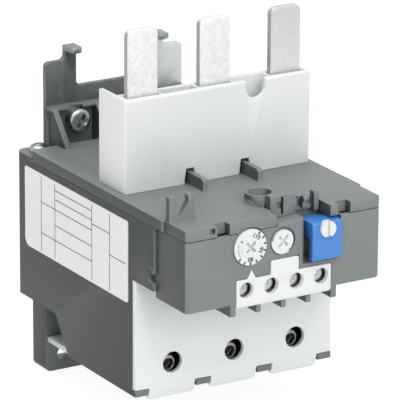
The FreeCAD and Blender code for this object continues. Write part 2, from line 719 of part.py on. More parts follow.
def lid_slab(inset, z0, z1):
    """Plate with the cover's outline, drawn in by an inset; it leaves a groove over the seam."""
    module = HALF_MODULE - inset
    housing = HALF_HOUSING - inset
    front = FRONT_Y + inset
    step_y = FRONT_Y + LID_FRONT_PART + inset
    rear = LID_REAR_Y - inset
    outline = [
        (-module, front), (module, front), (module, step_y), (housing, step_y),
        (housing, rear), (-housing, rear), (-housing, step_y), (-module, step_y),
    ]
    slab = profile_xy(outline, z0, z1)
    if inset:
        slab = rounded(slab, LID_CORNER - inset, ALONG_Z, lambda p: p.y < front + 1)
        slab = rounded(slab, LID_REAR_CORNER - inset, ALONG_Z, lambda p: p.y > rear - 1)
    return slab


def deck_cover():
    """Cover over the pole chambers and the module, with all that stands on it."""
    body = lid_slab(0, SEAM_Z + SEAM_GROOVE, DECK_Z)
    body = rounded(body, LID_CORNER, ALONG_Z, lambda p: p.y < FRONT_Y + 1)
    body = rounded(body, LID_REAR_CORNER, ALONG_Z, lambda p: p.y > LID_REAR_Y - 1)
    body = join(body, lid_slab(SEAM_GROOVE_DEPTH, SEAM_Z, SEAM_Z + SEAM_GROOVE))
    hollow = box(-HALF_MODULE + WALL, HALF_MODULE - WALL, FRONT_Y + LID_NOTCH_DEPTH + WALL,
                 LID_REAR_Y - GUSSET_REACH, SEAM_Z - 1, DECK_Z - LID_PLATE)
    body = cut(body, hollow)
    bay_wall = 1.4
    surround = box(BAY_LEFT_X - bay_wall, BAY_RIGHT_X + bay_wall, FRONT_Y + 1,
                   FRONT_Y + BAY_DEPTH + bay_wall,
                   SEAM_Z, DECK_Z - 1)
    body = join(body, surround, deck_boss(), cable_holder(), *barrier_fins())
    return cut(body, *lid_cuts())


def aux_bays():
    """Hollows of the four small terminals, open at the front and at the bottom."""
    half = (AUX_PITCH - AUX_PARTITION) / 2
    bays = []
    for centre in AUX_CENTRES:
        bays.append(box(centre - half, centre + half, FRONT_Y - 1, MODULE_BACK_Y - MODULE_WALL,
                        AUX_BLOCK_BOTTOM - 1, CONTROL_FLOOR_Z - 2.8))
    return bays


def post_front_y(index):
    """Front face of the contact post of one small terminal."""
    if index < 2:
        return CONTACT_BRIDGE_Y - CONTACT_POST - RUNNING_GAP
    return CONTACT_BRIDGE_Y + CONTACT_STRIP + CONTACT_TRAVEL + RUNNING_GAP


def module_hollows():
    """Inner room of the control module above and beside the small terminals."""
    y0 = FRONT_Y + MODULE_WALL
    y1 = MODULE_BACK_Y - MODULE_WALL
    inner = HALF_MODULE - MODULE_WALL
    wing = AUX_BLOCK_HALF + MODULE_WALL
    bottom = MODULE_BOTTOM_Z + MODULE_WALL
    return [
        box(-inner, inner, y0, y1, CONTROL_FLOOR_Z, SEAM_Z + 1),
        box(-inner, -wing, y0, y1, bottom, SEAM_Z + 1),
        box(wing, inner, y0, y1, bottom, SEAM_Z + 1),
    ]


def lever_pocket_limits():
    """Left, right and lower faces of the reset lever's pocket."""
    half = LEVER_WIDTH / 2 + LEVER_CLEARANCE
    return LEVER_X - half, LEVER_X + half, LEVER_TOP_Z - LEVER_HEIGHT - LEVER_CLEARANCE


def pocket_corner(left, bottom):
    """Waste outside the rounded upright edge left of the reset lever's pocket."""
    r = POCKET_CORNER
    block = box(left - r, left + 1, FRONT_Y - 1, FRONT_Y + r, bottom, PAD_Z + 1)
    return cut(block, rod_z(r, bottom - 1, PAD_Z + 2, left - r, FRONT_Y + r))


def module_case():
    """Case of the control module, with the terminal block below it."""
    body = box(-HALF_MODULE, HALF_MODULE, FRONT_Y, MODULE_BACK_Y, MODULE_BOTTOM_Z, SEAM_Z)
    body = rounded(body, LID_CORNER, ALONG_Z, lambda p: p.y < FRONT_Y + 1)
    body = rounded(body, 1.0, ALONG_X, lambda p: p.z < MODULE_BOTTOM_Z + 1 and p.y < FRONT_Y + 1)
    block = box(-AUX_BLOCK_HALF, AUX_BLOCK_HALF, FRONT_Y, MODULE_BACK_Y, AUX_BLOCK_BOTTOM, CONTROL_FLOOR_Z)
    body = cut(join(body, block), *module_hollows())
    left, right, bottom = lever_pocket_limits()
    pocket_shell = box(left - POCKET_WALL, right + POCKET_WALL, FRONT_Y + 1, POCKET_BACK_Y + POCKET_WALL,
                       bottom - POCKET_WALL, SEAM_Z)
    pad = box(BAY_LEFT_X + LOOSE_GAP, left, FRONT_Y, FRONT_Y + BAY_DEPTH - LOOSE_GAP, SEAM_Z - 1.4, PAD_Z)
    back_rail = box(left - POCKET_WALL, BAY_RIGHT_X - LOOSE_GAP, POCKET_BACK_Y, POCKET_BACK_Y + POCKET_WALL,
                    SEAM_Z - 1, PAD_Z)
    body = join(body, pocket_shell, pad, back_rail)
    tools = aux_bays() + [
        box(left, right, FRONT_Y - 1, POCKET_BACK_Y, bottom, SEAM_Z + 3),
        rod_y(LEVER_STEM_R + 0.2, POCKET_BACK_Y - 1, POCKET_BACK_Y + POCKET_WALL + 1, LEVER_X, DIAL_Z - 1.6),
        rod_y(DIAL_R + 0.4, FRONT_Y - 1, FRONT_Y + RECESS_DEPTH, DIAL_X, DIAL_Z),
        rod_y(DIAL_SHAFT_R + RUNNING_GAP, FRONT_Y - 1, FRONT_Y + MODULE_WALL + 1, DIAL_X, DIAL_Z),
        rod_y(TEST_R + 0.4, FRONT_Y - 1, FRONT_Y + RECESS_DEPTH, TEST_X, DIAL_Z),
        rod_y(TEST_SHAFT_R + RUNNING_GAP, FRONT_Y - 1, FRONT_Y + MODULE_WALL + 1, TEST_X, DIAL_Z),
        aux_plate_outline(FRONT_Y - 1, AUX_PLATE_BACK_Y, LOOSE_GAP),
        slide_passages()[1],
        pocket_corner(left, bottom),
    ]
    for index, centre in enumerate(AUX_CENTRES):
        y0 = post_front_y(index)
        tools.append(box(centre - 1.9, centre + 1.9, y0 - 0.2, y0 + CONTACT_POST + 0.2,
                         CONTROL_FLOOR_Z - 4, CONTROL_FLOOR_Z + 1))
    return cut(body, *tools)


def aux_plate_outline(y0, y1, margin):
    """Outline of the white terminal plate with its tab, grown by a margin."""
    half = AUX_PLATE_HALF + margin
    top = AUX_PLATE_TOP + margin
    plate = box(-half, half, y0, y1, AUX_PLATE_BOTTOM - margin, top)
    tab = box(AUX_TAB_LEFT - margin, AUX_TAB_RIGHT + margin, y0, y1, top - 1, AUX_TAB_TOP + margin)
    return join(plate, tab)


def aux_plate():
    """White plate over the small terminals, with tool holes and the dial's pointer."""
    body = aux_plate_outline(AUX_PLATE_FRONT_Y, AUX_PLATE_BACK_Y, 0)
    body = rounded(body, 0.8, ALONG_Y, lambda p: p.z > AUX_TAB_TOP - 0.5 or p.z < AUX_PLATE_BOTTOM + 0.5)
    half = AUX_POINTER_WIDTH / 2
    outline = [(AUX_POINTER_X - half, AUX_PLATE_TOP - 0.4), (AUX_POINTER_X + half, AUX_PLATE_TOP - 0.4),
               (AUX_POINTER_X, AUX_PLATE_TOP - 0.4 + AUX_POINTER_HEIGHT)]
    pointer = profile_xz(outline, AUX_PLATE_FRONT_Y, FRONT_Y)
    collar_back = AUX_PLATE_BACK_Y + AUX_COLLAR_LENGTH
    collar_r = AUX_HOLE_R + AUX_COLLAR_WALL
    collars = [rod_y(collar_r, AUX_PLATE_BACK_Y, collar_back, x, AUX_Z) for x in AUX_CENTRES]
    holes = [rod_y(AUX_HOLE_R, AUX_PLATE_FRONT_Y - 1, collar_back + 1, x, AUX_Z) for x in AUX_CENTRES]
    return cut(join(body, pointer, *collars), *holes)


def aux_strip(index):
    """Terminal strip of one small terminal, bent up to its contact post."""
    centre = AUX_CENTRES[index]
    front = AUX_SADDLE_BACK_Y + RUNNING_GAP
    back = front + AUX_STRIP_THICK
    post = post_front_y(index)
    shelf_top = CONTROL_FLOOR_Z - 3.0
    plate = box(centre - AUX_SADDLE_HALF, centre + AUX_SADDLE_HALF, front, back, AUX_PLATE_BOTTOM, shelf_top)
    shelf = box(centre - AUX_SADDLE_HALF, centre + AUX_SADDLE_HALF, front, post + CONTACT_POST,
                shelf_top - AUX_STRIP_THICK, shelf_top)
    riser = box(centre - 1.7, centre + 1.7, post, post + CONTACT_POST, shelf_top - 1, TRIP_LEVER_Z - 0.3)
    thread = rod_y(AUX_SCREW_R + RUNNING_GAP, front - 1, back + 1, centre, AUX_Z)
    return cut(join(plate, shelf, riser), thread)


def aux_saddle(index):
    """Ribbed washer that presses the wire on the terminal strip."""
    centre = AUX_CENTRES[index]
    back = AUX_SADDLE_BACK_Y
    body = box(centre - AUX_SADDLE_HALF, centre + AUX_SADDLE_HALF, back - AUX_SADDLE_THICK, back,
               AUX_Z - AUX_SADDLE_HALF, AUX_Z + AUX_SADDLE_HALF)
    body = rounded(body, 0.6, ALONG_Y, lambda p: True)
    hole = rod_y(AUX_SCREW_R + RUNNING_GAP, back - AUX_SADDLE_THICK - 1, back + 1, centre, AUX_Z)
    return cut(body, hole)


def cross_slot(x, z, y0, y1, length, width, turn=0):
    """Two crossed slots for a screwdriver, on a screw along Y, turned by some degrees."""
    flat = box(x - length / 2, x + length / 2, y0, y1, z - width / 2, z + width / 2)
    upright = box(x - width / 2, x + width / 2, y0, y1, z - length / 2, z + length / 2)
    cross = join(flat, upright)
    cross.rotate(Vector(x, 0, z), ALONG_Y, turn)
    return cross


def aux_screw(index):
    """Screw of one small terminal."""
    centre = AUX_CENTRES[index]
    seat = AUX_SADDLE_BACK_Y - AUX_SADDLE_THICK
    front = seat - AUX_HEAD_HEIGHT
    head = rod_y(AUX_HEAD_R, front, seat, centre, AUX_Z)
    shank = rod_y(AUX_SCREW_R, seat, seat + AUX_SCREW_LENGTH, centre, AUX_Z)
    slot = cross_slot(centre, AUX_Z, front - 1, front + 1.2, AUX_HEAD_R * 1.5, 0.8)
    return cut(join(head, shank), slot)


def lug_shroud():
    """White insulating shroud round the three lugs."""
    left = SHROUD_CENTRE_X - HALF_SHROUD
    right = SHROUD_CENTRE_X + HALF_SHROUD
    top = DECK_Z + SHROUD_HEIGHT
    rear = SHROUD_FRONT_Y + SHROUD_WING
    channel_y0 = SHROUD_FRONT_Y + SHROUD_WALL
    channel_y1 = channel_y0 + CHANNEL_DEPTH
    body = box(left, right, SHROUD_FRONT_Y, rear, DECK_Z, top)
    body = rounded(body, SHROUD_CORNER, ALONG_Y, lambda p: p.z > top - 1 and p.x > right - 1)
    body = rounded(body, 1.0, ALONG_Z, lambda p: p.y < SHROUD_FRONT_Y + 1)
    inner_left = left + SHROUD_WALL
    inner_right = right - SHROUD_WALL
    tools = [
        box(inner_left, inner_right, channel_y1 + CHANNEL_REAR_WALL, rear + 1, DECK_Z - 1, top + 1),
        rod_y(SHROUD_NOTCH_WIDTH / 2, SHROUD_FRONT_Y - 1, channel_y0 + 0.5, SHROUD_NOTCH_X,
              top - SHROUD_NOTCH_DEPTH + SHROUD_NOTCH_WIDTH / 2),
        box(SHROUD_NOTCH_X - SHROUD_NOTCH_WIDTH / 2, SHROUD_NOTCH_X + SHROUD_NOTCH_WIDTH / 2,
            SHROUD_FRONT_Y - 1,
            channel_y0 + 0.5, top - SHROUD_NOTCH_DEPTH + SHROUD_NOTCH_WIDTH / 2, top + 1),
    ]
    edges = [inner_left]
    for centre in LUG_CENTRES:
        for side in (-1, 1):
            edge = centre + side * (LUG_WIDTH / 2 + LOOSE_GAP)
            edges += [edge - DIVIDER, edge] if side < 0 else [edge, edge + DIVIDER]
    edges.append(inner_right)
    for x0, x1 in zip(edges[0::2], edges[1::2]):
        if x1 - x0 > DIVIDER:
            tools.append(box(x0, x1, channel_y0, channel_y1, DECK_Z - 1, top + 1))
    for side in (-1, 1):
        centre = SHROUD_CENTRE_X - 0.2 + side * FIN_SPACING / 2
        half = FIN_NOTCH_WIDTH / 2
        outline = [(centre - half, DECK_Z - 1), (centre - half + 0.8, DECK_Z + FIN_NOTCH_HEIGHT),
                   (centre + half - 0.8, DECK_Z + FIN_NOTCH_HEIGHT), (centre + half, DECK_Z - 1)]
        tools.append(profile_xz(outline, SHROUD_FRONT_Y - 1, channel_y1 + CHANNEL_REAR_WALL + 1))
    return cut(body, *tools)


def line_lug(index):
    """Tinned lug that runs down through the deck and back to the heater."""
    centre = LUG_CENTRES[index]
    back = LUG_FRONT_Y + LUG_THICK
    outline = [
        (LUG_FRONT_Y, LUG_LEG_Z),
        (LUG_FRONT_Y, DECK_Z + LUG_RISE),
        (back, DECK_Z + LUG_RISE),
        (back, LUG_LEG_Z + LUG_THICK),
        (LUG_LEG_REAR_Y, LUG_LEG_Z + LUG_THICK),
        (LUG_LEG_REAR_Y, LUG_LEG_Z),
    ]
    body = profile_yz(outline, centre - LUG_WIDTH / 2, centre + LUG_WIDTH / 2)
    return rounded(body, LUG_CORNER, ALONG_Y, lambda p: p.z > DECK_Z + LUG_RISE - 1)


def terminal_bar(index):
    """Conductor bar from the heater down through the lift clamp."""
    centre = POLE_CENTRES[index]
    half = BAR_WIDTH / 2
    upright = box(centre - half, centre + half, BAR_FRONT_Y, BAR_BACK_Y, BAR_BOTTOM_Z, BAR_SHELF_Z)
    neck = box(centre - half, centre + half, BAR_FRONT_Y, bar_shelf_front_y() + 0.5,
               BAR_SHELF_Z - BAR_THICK, BAR_SHELF_Z)
    left, right = chamber_limits()[index]
    shelf = box(left + BAR_SHELF_GAP, right - BAR_SHELF_GAP, bar_shelf_front_y(), BAR_SHELF_REAR_Y,
                BAR_SHELF_Z - BAR_THICK, BAR_SHELF_Z)
    return join(upright, neck, shelf)


def bimetal(index):
    """Bimetal strip with its foot on the terminal bar."""
    centre = POLE_CENTRES[index]
    half = BIMETAL_THICK / 2
    strip = box(centre - half, centre + half, BIMETAL_FRONT_Y, BIMETAL_REAR_Y, BAR_SHELF_Z, BIMETAL_TOP_Z)
    foot_plate = box(centre - half, centre + BIMETAL_FOOT, BIMETAL_FRONT_Y, BIMETAL_REAR_Y, BAR_SHELF_Z,
                     BAR_SHELF_Z + BIMETAL_THICK)
    return join(strip, foot_plate)


def heater(index):
    """Heater tape wound round the bimetal, from the lug's leg to the terminal bar."""
    centre = POLE_CENTRES[index]
    in_x = BIMETAL_THICK / 2 + HEATER_GAP
    in_y0 = BIMETAL_FRONT_Y - HEATER_GAP
    in_y1 = BIMETAL_REAR_Y + HEATER_GAP
    first = BAR_SHELF_Z + HEATER_RISE
    turns = []
    for turn in range(HEATER_TURNS):
        z0 = first + turn * HEATER_PITCH
        ring = box(centre - in_x - HEATER_GAUGE, centre + in_x + HEATER_GAUGE, in_y0 - HEATER_GAUGE,
                   in_y1 + HEATER_GAUGE, z0, z0 + HEATER_TAPE)
        turns.append(cut(ring, box(centre - in_x, centre + in_x, in_y0, in_y1, z0 - 1, z0 + 3)))
        if turn % 2:
            step = box(centre - 1, centre + 1, in_y0 - HEATER_GAUGE, in_y0, z0 + 1, z0 + HEATER_PITCH + 0.2)
        else:
            step = box(centre - 1, centre + 1, in_y1, in_y1 + HEATER_GAUGE, z0 + 1, z0 + HEATER_PITCH + 0.2)
        if turn < HEATER_TURNS - 1:
            turns.append(step)
    last = first + (HEATER_TURNS - 1) * HEATER_PITCH
    lower_tail = box(centre - 1, centre + 1, in_y0 - HEATER_GAUGE, in_y0, BAR_SHELF_Z, first + 1)
    upper_tail = box(centre - 1, centre + 1, in_y0 - HEATER_GAUGE, in_y0, last, LUG_LEG_Z)
    return join(turns[0], *turns[1:], lower_tail, upper_tail)


def lift_clamp(index):
    """Steel cage that the clamp screw pulls forward against the terminal bar."""
    centre = POLE_CENTRES[index]
    inner = CLAMP_INNER_HALF
    outer = inner + CLAMP_SIDE
    front = CLAMP_FRONT_BACK_Y - CLAMP_FRONT_WALL
    rear = CLAMP_REAR_INNER_Y + CLAMP_REAR_WALL
    low = CLAMP_Z - CLAMP_HEIGHT / 2
    high = CLAMP_Z + CLAMP_HEIGHT / 2
    frame = box(centre - outer, centre + outer, front, rear, low, high)
    frame = rounded(frame, 1.0, ALONG_Z, lambda p: True)
    window = box(centre - inner, centre + inner, CLAMP_FRONT_BACK_Y, CLAMP_REAR_INNER_Y, low - 1, high + 1)
    thread = rod_y(CLAMP_SCREW_R + RUNNING_GAP, front - 1, CLAMP_FRONT_BACK_Y + 1, centre, CLAMP_Z)
    return cut(frame, window, thread)


def regular_prism(sides, radius, x, z, y0, y1):
    """Prism along Y over a regular polygon with its corners on the given radius."""
    points = []
    for corner in range(sides):
        angle = math.radians(360 * corner / sides)
        points.append((x + radius * math.cos(angle), z + radius * math.sin(angle)))
    return profile_xz(points, y0, y1)


def clamp_screw(index):
    """Socket screw of one lift clamp; it turns in place and moves the cage."""
    centre = POLE_CENTRES[index]
    front = CLAMP_HEAD_BACK_Y - CLAMP_HEAD_HEIGHT
    head = rod_y(CLAMP_HEAD_R, front, CLAMP_HEAD_BACK_Y, centre, CLAMP_Z)
    shank = rod_y(CLAMP_SCREW_R, CLAMP_HEAD_BACK_Y, BAR_FRONT_Y - RUNNING_GAP, centre, CLAMP_Z)
    socket = regular_prism(6, CLAMP_SOCKET / math.sqrt(3), centre, CLAMP_Z, front - 1,
                           front + CLAMP_SOCKET_DEPTH)
    return cut(join(head, shank), socket)


def terminal_cover():
    """White front cover over the lower terminals, with lips between the latch tabs."""
    body = box(-HALF_HOUSING, HALF_HOUSING, COVER_FRONT_Y, COVER_BACK_Y, COVER_BOTTOM_Z, NECK_BOTTOM_Z)
    body = rounded(body, 0.8, ALONG_Z, lambda p: p.y < COVER_FRONT_Y + 0.5)
    lips = []
    for centre in POLE_CENTRES:
        low = COVER_BOTTOM_Z - COVER_LIP_DROP
        outline = [
            (COVER_FRONT_Y, COVER_BOTTOM_Z),
            (COVER_FRONT_Y + COVER_LIP_SLANT, low),
            (COVER_BACK_Y + COVER_LIP_SLANT, low),
            (COVER_BACK_Y + COVER_LIP_SLANT, FLOOR_Z - LOOSE_GAP),
            (COVER_BACK_Y - LOOSE_GAP, FLOOR_Z - LOOSE_GAP),
            (COVER_BACK_Y - LOOSE_GAP, COVER_BOTTOM_Z),
        ]
        half = COVER_LIP_WIDTH / 2
        lip = profile_yz(outline, centre - half, centre + half)
        lips.append(rounded(lip, 1.5, ALONG_Y, lambda p: p.z < low + 0.5))
    body = join(body, *lips)
    holes = []
    for centre in POLE_CENTRES:
        holes.append(rod_y(ACCESS_HOLE_R, COVER_FRONT_Y - 1, COVER_BACK_Y + 1, centre, ACCESS_HOLE_Z))
    return cut(body, *holes)


def bottom_tray():
    """White plate under the housing, from its ribs back to the foot."""
    half = TRAY_WIDTH / 2
    top = FLOOR_Z - RIB_HEIGHT
    body = box(-half, half, TRAY_FRONT_Y, FOOT_FRONT_Y, top - TRAY_THICK, top)
    return rounded(body, 1.5, ALONG_Z, lambda p: p.y < TRAY_FRONT_Y + 1)


def side_label():
    """Blank ruled plate on the left side."""
    outline = [(LABEL_FRONT_Y, LABEL_BOTTOM_Z), (LABEL_FRONT_Y, LABEL_TOP_Z), (LABEL_REAR_Y, LABEL_TOP_Z),
               (LABEL_REAR_Y, LABEL_BOTTOM_Z)]
    body = profile_yz(outline, -HALF_HOUSING - LABEL_THICK, -HALF_HOUSING)
    body = rounded(body, LABEL_CORNER, ALONG_X,
                   lambda p: p.y > LABEL_REAR_Y - 1 and p.z < LABEL_BOTTOM_Z + 1)
    return rounded(body, LABEL_SMALL_CORNER, ALONG_X,
                   lambda p: p.y < LABEL_FRONT_Y + 0.5 or p.z > LABEL_TOP_Z - 0.5)


def fixing_bracket():
    """Sheet bracket with two posts and hooks that hang on a contactor or a rail."""
    centre = BRACKET_CENTRE_X
    half = BRACKET_WIDTH / 2
    post_in = BRACKET_POST_SPACING / 2 - BRACKET_POST_WIDTH / 2
    post_out = post_in + BRACKET_POST_WIDTH
    bottom = SEAM_Z + LOOSE_GAP
    right_side = [
        (post_in, BRACKET_SADDLE_Z), (post_in, BRACKET_POST_Z), (post_out, BRACKET_POST_Z),
        (post_out, BRACKET_SHOULDER_Z), (half, BRACKET_SHOULDER_Z), (half, bottom),
    ]
    left_side = [(-x, z) for x, z in reversed(right_side)]
    outline = [(centre + x, z) for x, z in right_side + left_side]
    body = profile_xz(outline, BRACKET_FRONT_Y, BRACKET_BACK_Y)
    body = rounded(body, 2.0, ALONG_Y, lambda p: p.z > bottom + 1 and p.z < BRACKET_POST_Z - 1)
    for side in (-1, 1):
        x0, x1 = sorted((centre + side * post_in, centre + side * post_out))
        hook = box(x0, x1, BRACKET_FRONT_Y - HOOK_REACH, BRACKET_FRONT_Y + 1, BRACKET_POST_Z - BRACKET_SHEET,
                   BRACKET_POST_Z)
        hook = rounded(hook, 2.0, ALONG_Z, lambda p: p.y < BRACKET_FRONT_Y - 1)
        body = join(body, hook)
    holes = []
    for screw_x in tower_screw_places():
        holes.append(rod_y(BRACKET_SCREW_R + RUNNING_GAP, BRACKET_FRONT_Y - 1, 1, screw_x, BRACKET_SCREW_Z))
    return cut(body, *holes)


def bracket_screws():
    """Two cross-recess pan screws that hold the bracket to the tower."""
    screws = []
    seat = TOWER_FRONT_Y - BRACKET_BOSS_LENGTH
    front = seat - BRACKET_HEAD_HEIGHT
    for screw_x in tower_screw_places():
        skirt = rod_y(BRACKET_HEAD_R, seat - BRACKET_HEAD_HEIGHT + CROWN, seat, screw_x, BRACKET_SCREW_Z)
        crown = Part.makeCone(BRACKET_HEAD_R, BRACKET_HEAD_R - CROWN, CROWN,
                              Vector(screw_x, front + CROWN, BRACKET_SCREW_Z),
                              Vector(0, -1, 0))
        head = join(skirt, crown)
        shank = rod_y(BRACKET_SCREW_R, seat, BRACKET_BACK_Y, screw_x, BRACKET_SCREW_Z)
        slot = cross_slot(screw_x, BRACKET_SCREW_Z, front - 1, front + 1.6, BRACKET_HEAD_R * 1.1, 1.2)
        screws.append(cut(join(head, shank), slot))
    return Part.makeCompound(screws)


def rim_screws():
    """Two small pan screws that stand on the rear rim."""
    screws = []
    for side in (-1, 1):
        x = side * RIM_SCREW_X
        y = RIM_SCREW_Y
        seat = SEAM_Z + RIM_RISE
        top = seat + RIM_HEAD_HEIGHT
        head = rod_z(RIM_HEAD_R, seat, top, x, y)
        shank = rod_z(RIM_SCREW_R, SEAM_Z - WALL, seat, x, y)
        slot = box(x - RIM_HEAD_R + 0.8, x + RIM_HEAD_R - 0.8, y - 0.5, y + 0.5, top - 1.2, top + 1)
        screws.append(cut(join(head, shank), slot))
    return Part.makeCompound(screws)


def setting_dial():
    """Current setting dial with its shaft and eccentric cam."""
    back = FRONT_Y + RECESS_DEPTH - RUNNING_GAP
    front = back - DIAL_THICK
    disc = rod_y(DIAL_R, front, back, DIAL_X, DIAL_Z)
    boss = rod_y(DIAL_BOSS_R, front - DIAL_BOSS_PROUD, front + DIAL_BOSS_SUNK, DIAL_X, DIAL_Z)
    shaft = rod_y(DIAL_SHAFT_R, back, FRONT_Y + MODULE_WALL + DISC_SHAFT_REACH, DIAL_X, DIAL_Z)
    cam_y = FRONT_Y + MODULE_WALL + DIAL_CAM_SETBACK
    cam = rod_y(DIAL_CAM_R, cam_y, cam_y + DIAL_CAM_THICK, DIAL_X, DIAL_Z + DIAL_CAM_OFFSET)
    slot = cross_slot(DIAL_X, DIAL_Z, front - 1, front + CROSS_SLOT_DEPTH, DIAL_BOSS_R * 1.4,
                      CROSS_SLOT_WIDTH, 45)
    return cut(join(disc, boss, shaft, cam), slot)


def test_disc():
    """Cross-slotted test disc with a stop step on its rim."""
    back = FRONT_Y + RECESS_DEPTH - RUNNING_GAP
    front = back - DIAL_THICK
    disc = rod_y(TEST_R - TEST_STEP, front, back, TEST_X, DIAL_Z)
    wedge = [(TEST_X, DIAL_Z)]
    for part in range(5):
        angle = math.radians(TEST_STEP_START + (TEST_STEP_END - TEST_STEP_START) * part / 4)
        wedge.append((TEST_X + 2 * TEST_R * math.sin(angle), DIAL_Z + 2 * TEST_R * math.cos(angle)))
    step = rod_y(TEST_R, front, back, TEST_X, DIAL_Z).common(profile_xz(wedge, front, back))
    shaft = rod_y(TEST_SHAFT_R, back, FRONT_Y + MODULE_WALL + DISC_SHAFT_REACH, TEST_X, DIAL_Z)
    slot = cross_slot(TEST_X, DIAL_Z, front - 1, front + CROSS_SLOT_DEPTH, TEST_R * 1.1, CROSS_SLOT_WIDTH,
                      45)
    return cut(join(disc, step, shaft), slot)


def reset_lever():
    """Blue reset lever: a cap with cheeks and a stem through the pocket's back wall."""
    half = LEVER_WIDTH / 2
    left = LEVER_X - half
    right = LEVER_X + half
    plate_back = LEVER_FRONT_Y + LEVER_PLATE
    low = LEVER_TOP_Z - LEVER_HEIGHT
    plate = box(left, right, LEVER_FRONT_Y, plate_back, low, LEVER_TOP_Z)
    cap_rear = LEVER_FRONT_Y + LEVER_LENGTH
    cap_outline = [(left, LEVER_FRONT_Y), (right, LEVER_FRONT_Y), (right, cap_rear - 5.0),
                   (left + 5.0, cap_rear),
                   (left, cap_rear)]
    cap = profile_xy(cap_outline, LEVER_TOP_Z - LEVER_TOP_PLATE, LEVER_TOP_Z)
    cheek_low = LEVER_TOP_Z - LEVER_CHEEK_HEIGHT
    cheeks = [
        box(left, left + 1.6, LEVER_FRONT_Y, cap_rear - 2.0, cheek_low, LEVER_TOP_Z),
        box(right - 1.6, right, LEVER_FRONT_Y, cap_rear - 5.0, cheek_low, LEVER_TOP_Z),
    ]
    stem_z = DIAL_Z - 1.6
    stem = rod_y(LEVER_STEM_R, plate_back - 0.5, plate_back + LEVER_STEM_LENGTH, LEVER_X, stem_z)
    body = join(plate, cap, *cheeks, stem)
    body = rounded(body, 1.0, ALONG_X, lambda p: p.y < LEVER_FRONT_Y + 0.5 and p.z > LEVER_TOP_Z - 0.5)
    seat = rod_y(STUD_R + RUNNING_GAP, LEVER_FRONT_Y - 1, LEVER_FRONT_Y + 1.2, LEVER_X, STUD_Z)
    return cut(body, seat)


def reset_stud():
    """White slotted selector in the lever's face, with a flat on its rim."""
    front = LEVER_FRONT_Y - STUD_LENGTH + 1.1
    body = rod_y(STUD_R, front, front + STUD_LENGTH, LEVER_X, STUD_Z)
    slot = box(LEVER_X - STUD_SLOT / 2, LEVER_X + STUD_SLOT / 2, front - 1, front + 0.8, STUD_Z - STUD_R - 1,
               STUD_Z + STUD_R + 1)
    nick = box(LEVER_X - 1.2, LEVER_X + 1.2, front - 1, front + 1.0, STUD_Z - STUD_R - 1,
               STUD_Z - STUD_R + 0.7)
    return cut(body, slot, nick)


def reset_spring():
    """Compression spring on the lever's stem, as a stack of wire rings on a thin spine."""
    y0 = LEVER_FRONT_Y + LEVER_PLATE + 0.1
    y1 = POCKET_BACK_Y - 0.1
    radius = LEVER_STEM_R + 0.9
    z = DIAL_Z - 1.6
    rings = []
    pitch = (y1 - y0 - SPRING_WIRE) / SPRING_TURNS
    for turn in range(SPRING_TURNS + 1):
        start = y0 + turn * pitch
        ring = regular_prism(SPRING_SIDES, radius + SPRING_WIRE / 2, LEVER_X, z, start, start + SPRING_WIRE)
        hole = regular_prism(SPRING_SIDES, radius - SPRING_WIRE / 2, LEVER_X, z, start - 1, start + 1)
        rings.append(cut(ring, hole))
    spine = box(LEVER_X + radius - SPRING_WIRE / 2, LEVER_X + radius + SPRING_WIRE / 4, y0, y1, z - 0.2,
                z + 0.2)
    return join(rings[0], *rings[1:], spine)


def slide_bar(z0, with_arm):
    """Flat slide across the three poles, slotted for the tips of the bimetals."""
    body = box(-SLIDE_HALF_LENGTH, SLIDE_HALF_LENGTH, slide_front_y(), slide_rear_y(), z0, z0 + SLIDE_THICK)
    body = rounded(body, 1.5, ALONG_Z, lambda p: True)
    if with_arm:
        arm = box(SLIDE_ARM_X, SLIDE_ARM_X + SLIDE_ARM_WIDTH, SLIDE_ARM_TIP_Y, slide_front_y() + 1, z0,
                  z0 + SLIDE_THICK)
        body = join(body, arm)
    slots = []
    half = BIMETAL_THICK / 2
    for centre in POLE_CENTRES:
        slots.append(box(centre - half - SLIDE_TRAVEL - LOOSE_GAP, centre + half + 0.2,
                         BIMETAL_FRONT_Y - LOOSE_GAP,
                         BIMETAL_REAR_Y + LOOSE_GAP, z0 - 1, z0 + SLIDE_THICK + 1))
    return cut(body, *slots)


def trip_slide():
    """Lower slide that carries the bimetals' push forward to the module."""
    return slide_bar(SLIDE_Z, True)


def phase_failure_slide():
    """Upper slide that senses a pole without current."""
    z0 = SLIDE_Z + SLIDE_THICK + SLIDE_STACK_GAP
    return slide_bar(z0, False)


def trip_pin():
    """Fixed pin that the trip lever turns on."""
    return rod_z(TRIP_PIN_R, CONTROL_FLOOR_Z, SLIDE_Z + SLIDE_THICK + 1, TRIP_PIVOT_X, TRIP_PIVOT_Y)


def trip_lever():
    """Lever with a hub on the pin and a finger that pushes the contact carrier."""
    hub_top = SLIDE_Z + SLIDE_THICK
    low = TRIP_LEVER_Z
    high = TRIP_LEVER_Z + TRIP_LEVER_THICK
    hub = rod_z(TRIP_HUB_R, CONTROL_FLOOR_Z + 0.3, hub_top, TRIP_PIVOT_X, TRIP_PIVOT_Y)
    finger_x = TRIP_PIVOT_X - TRIP_FINGER_OFFSET
    arm = box(finger_x - 1.2, TRIP_PIVOT_X, TRIP_PIVOT_Y - 1.1, TRIP_PIVOT_Y + 1.1, low, high)
    finger = box(finger_x - 1.2, finger_x + 1.2, TRIP_PIVOT_Y - 1.1, CARRIER_FRONT_Y - 0.2, low, high)
    bore = rod_z(TRIP_PIN_R + RUNNING_GAP, CONTROL_FLOOR_Z, hub_top + 1, TRIP_PIVOT_X, TRIP_PIVOT_Y)
    return cut(join(hub, arm, finger), bore)


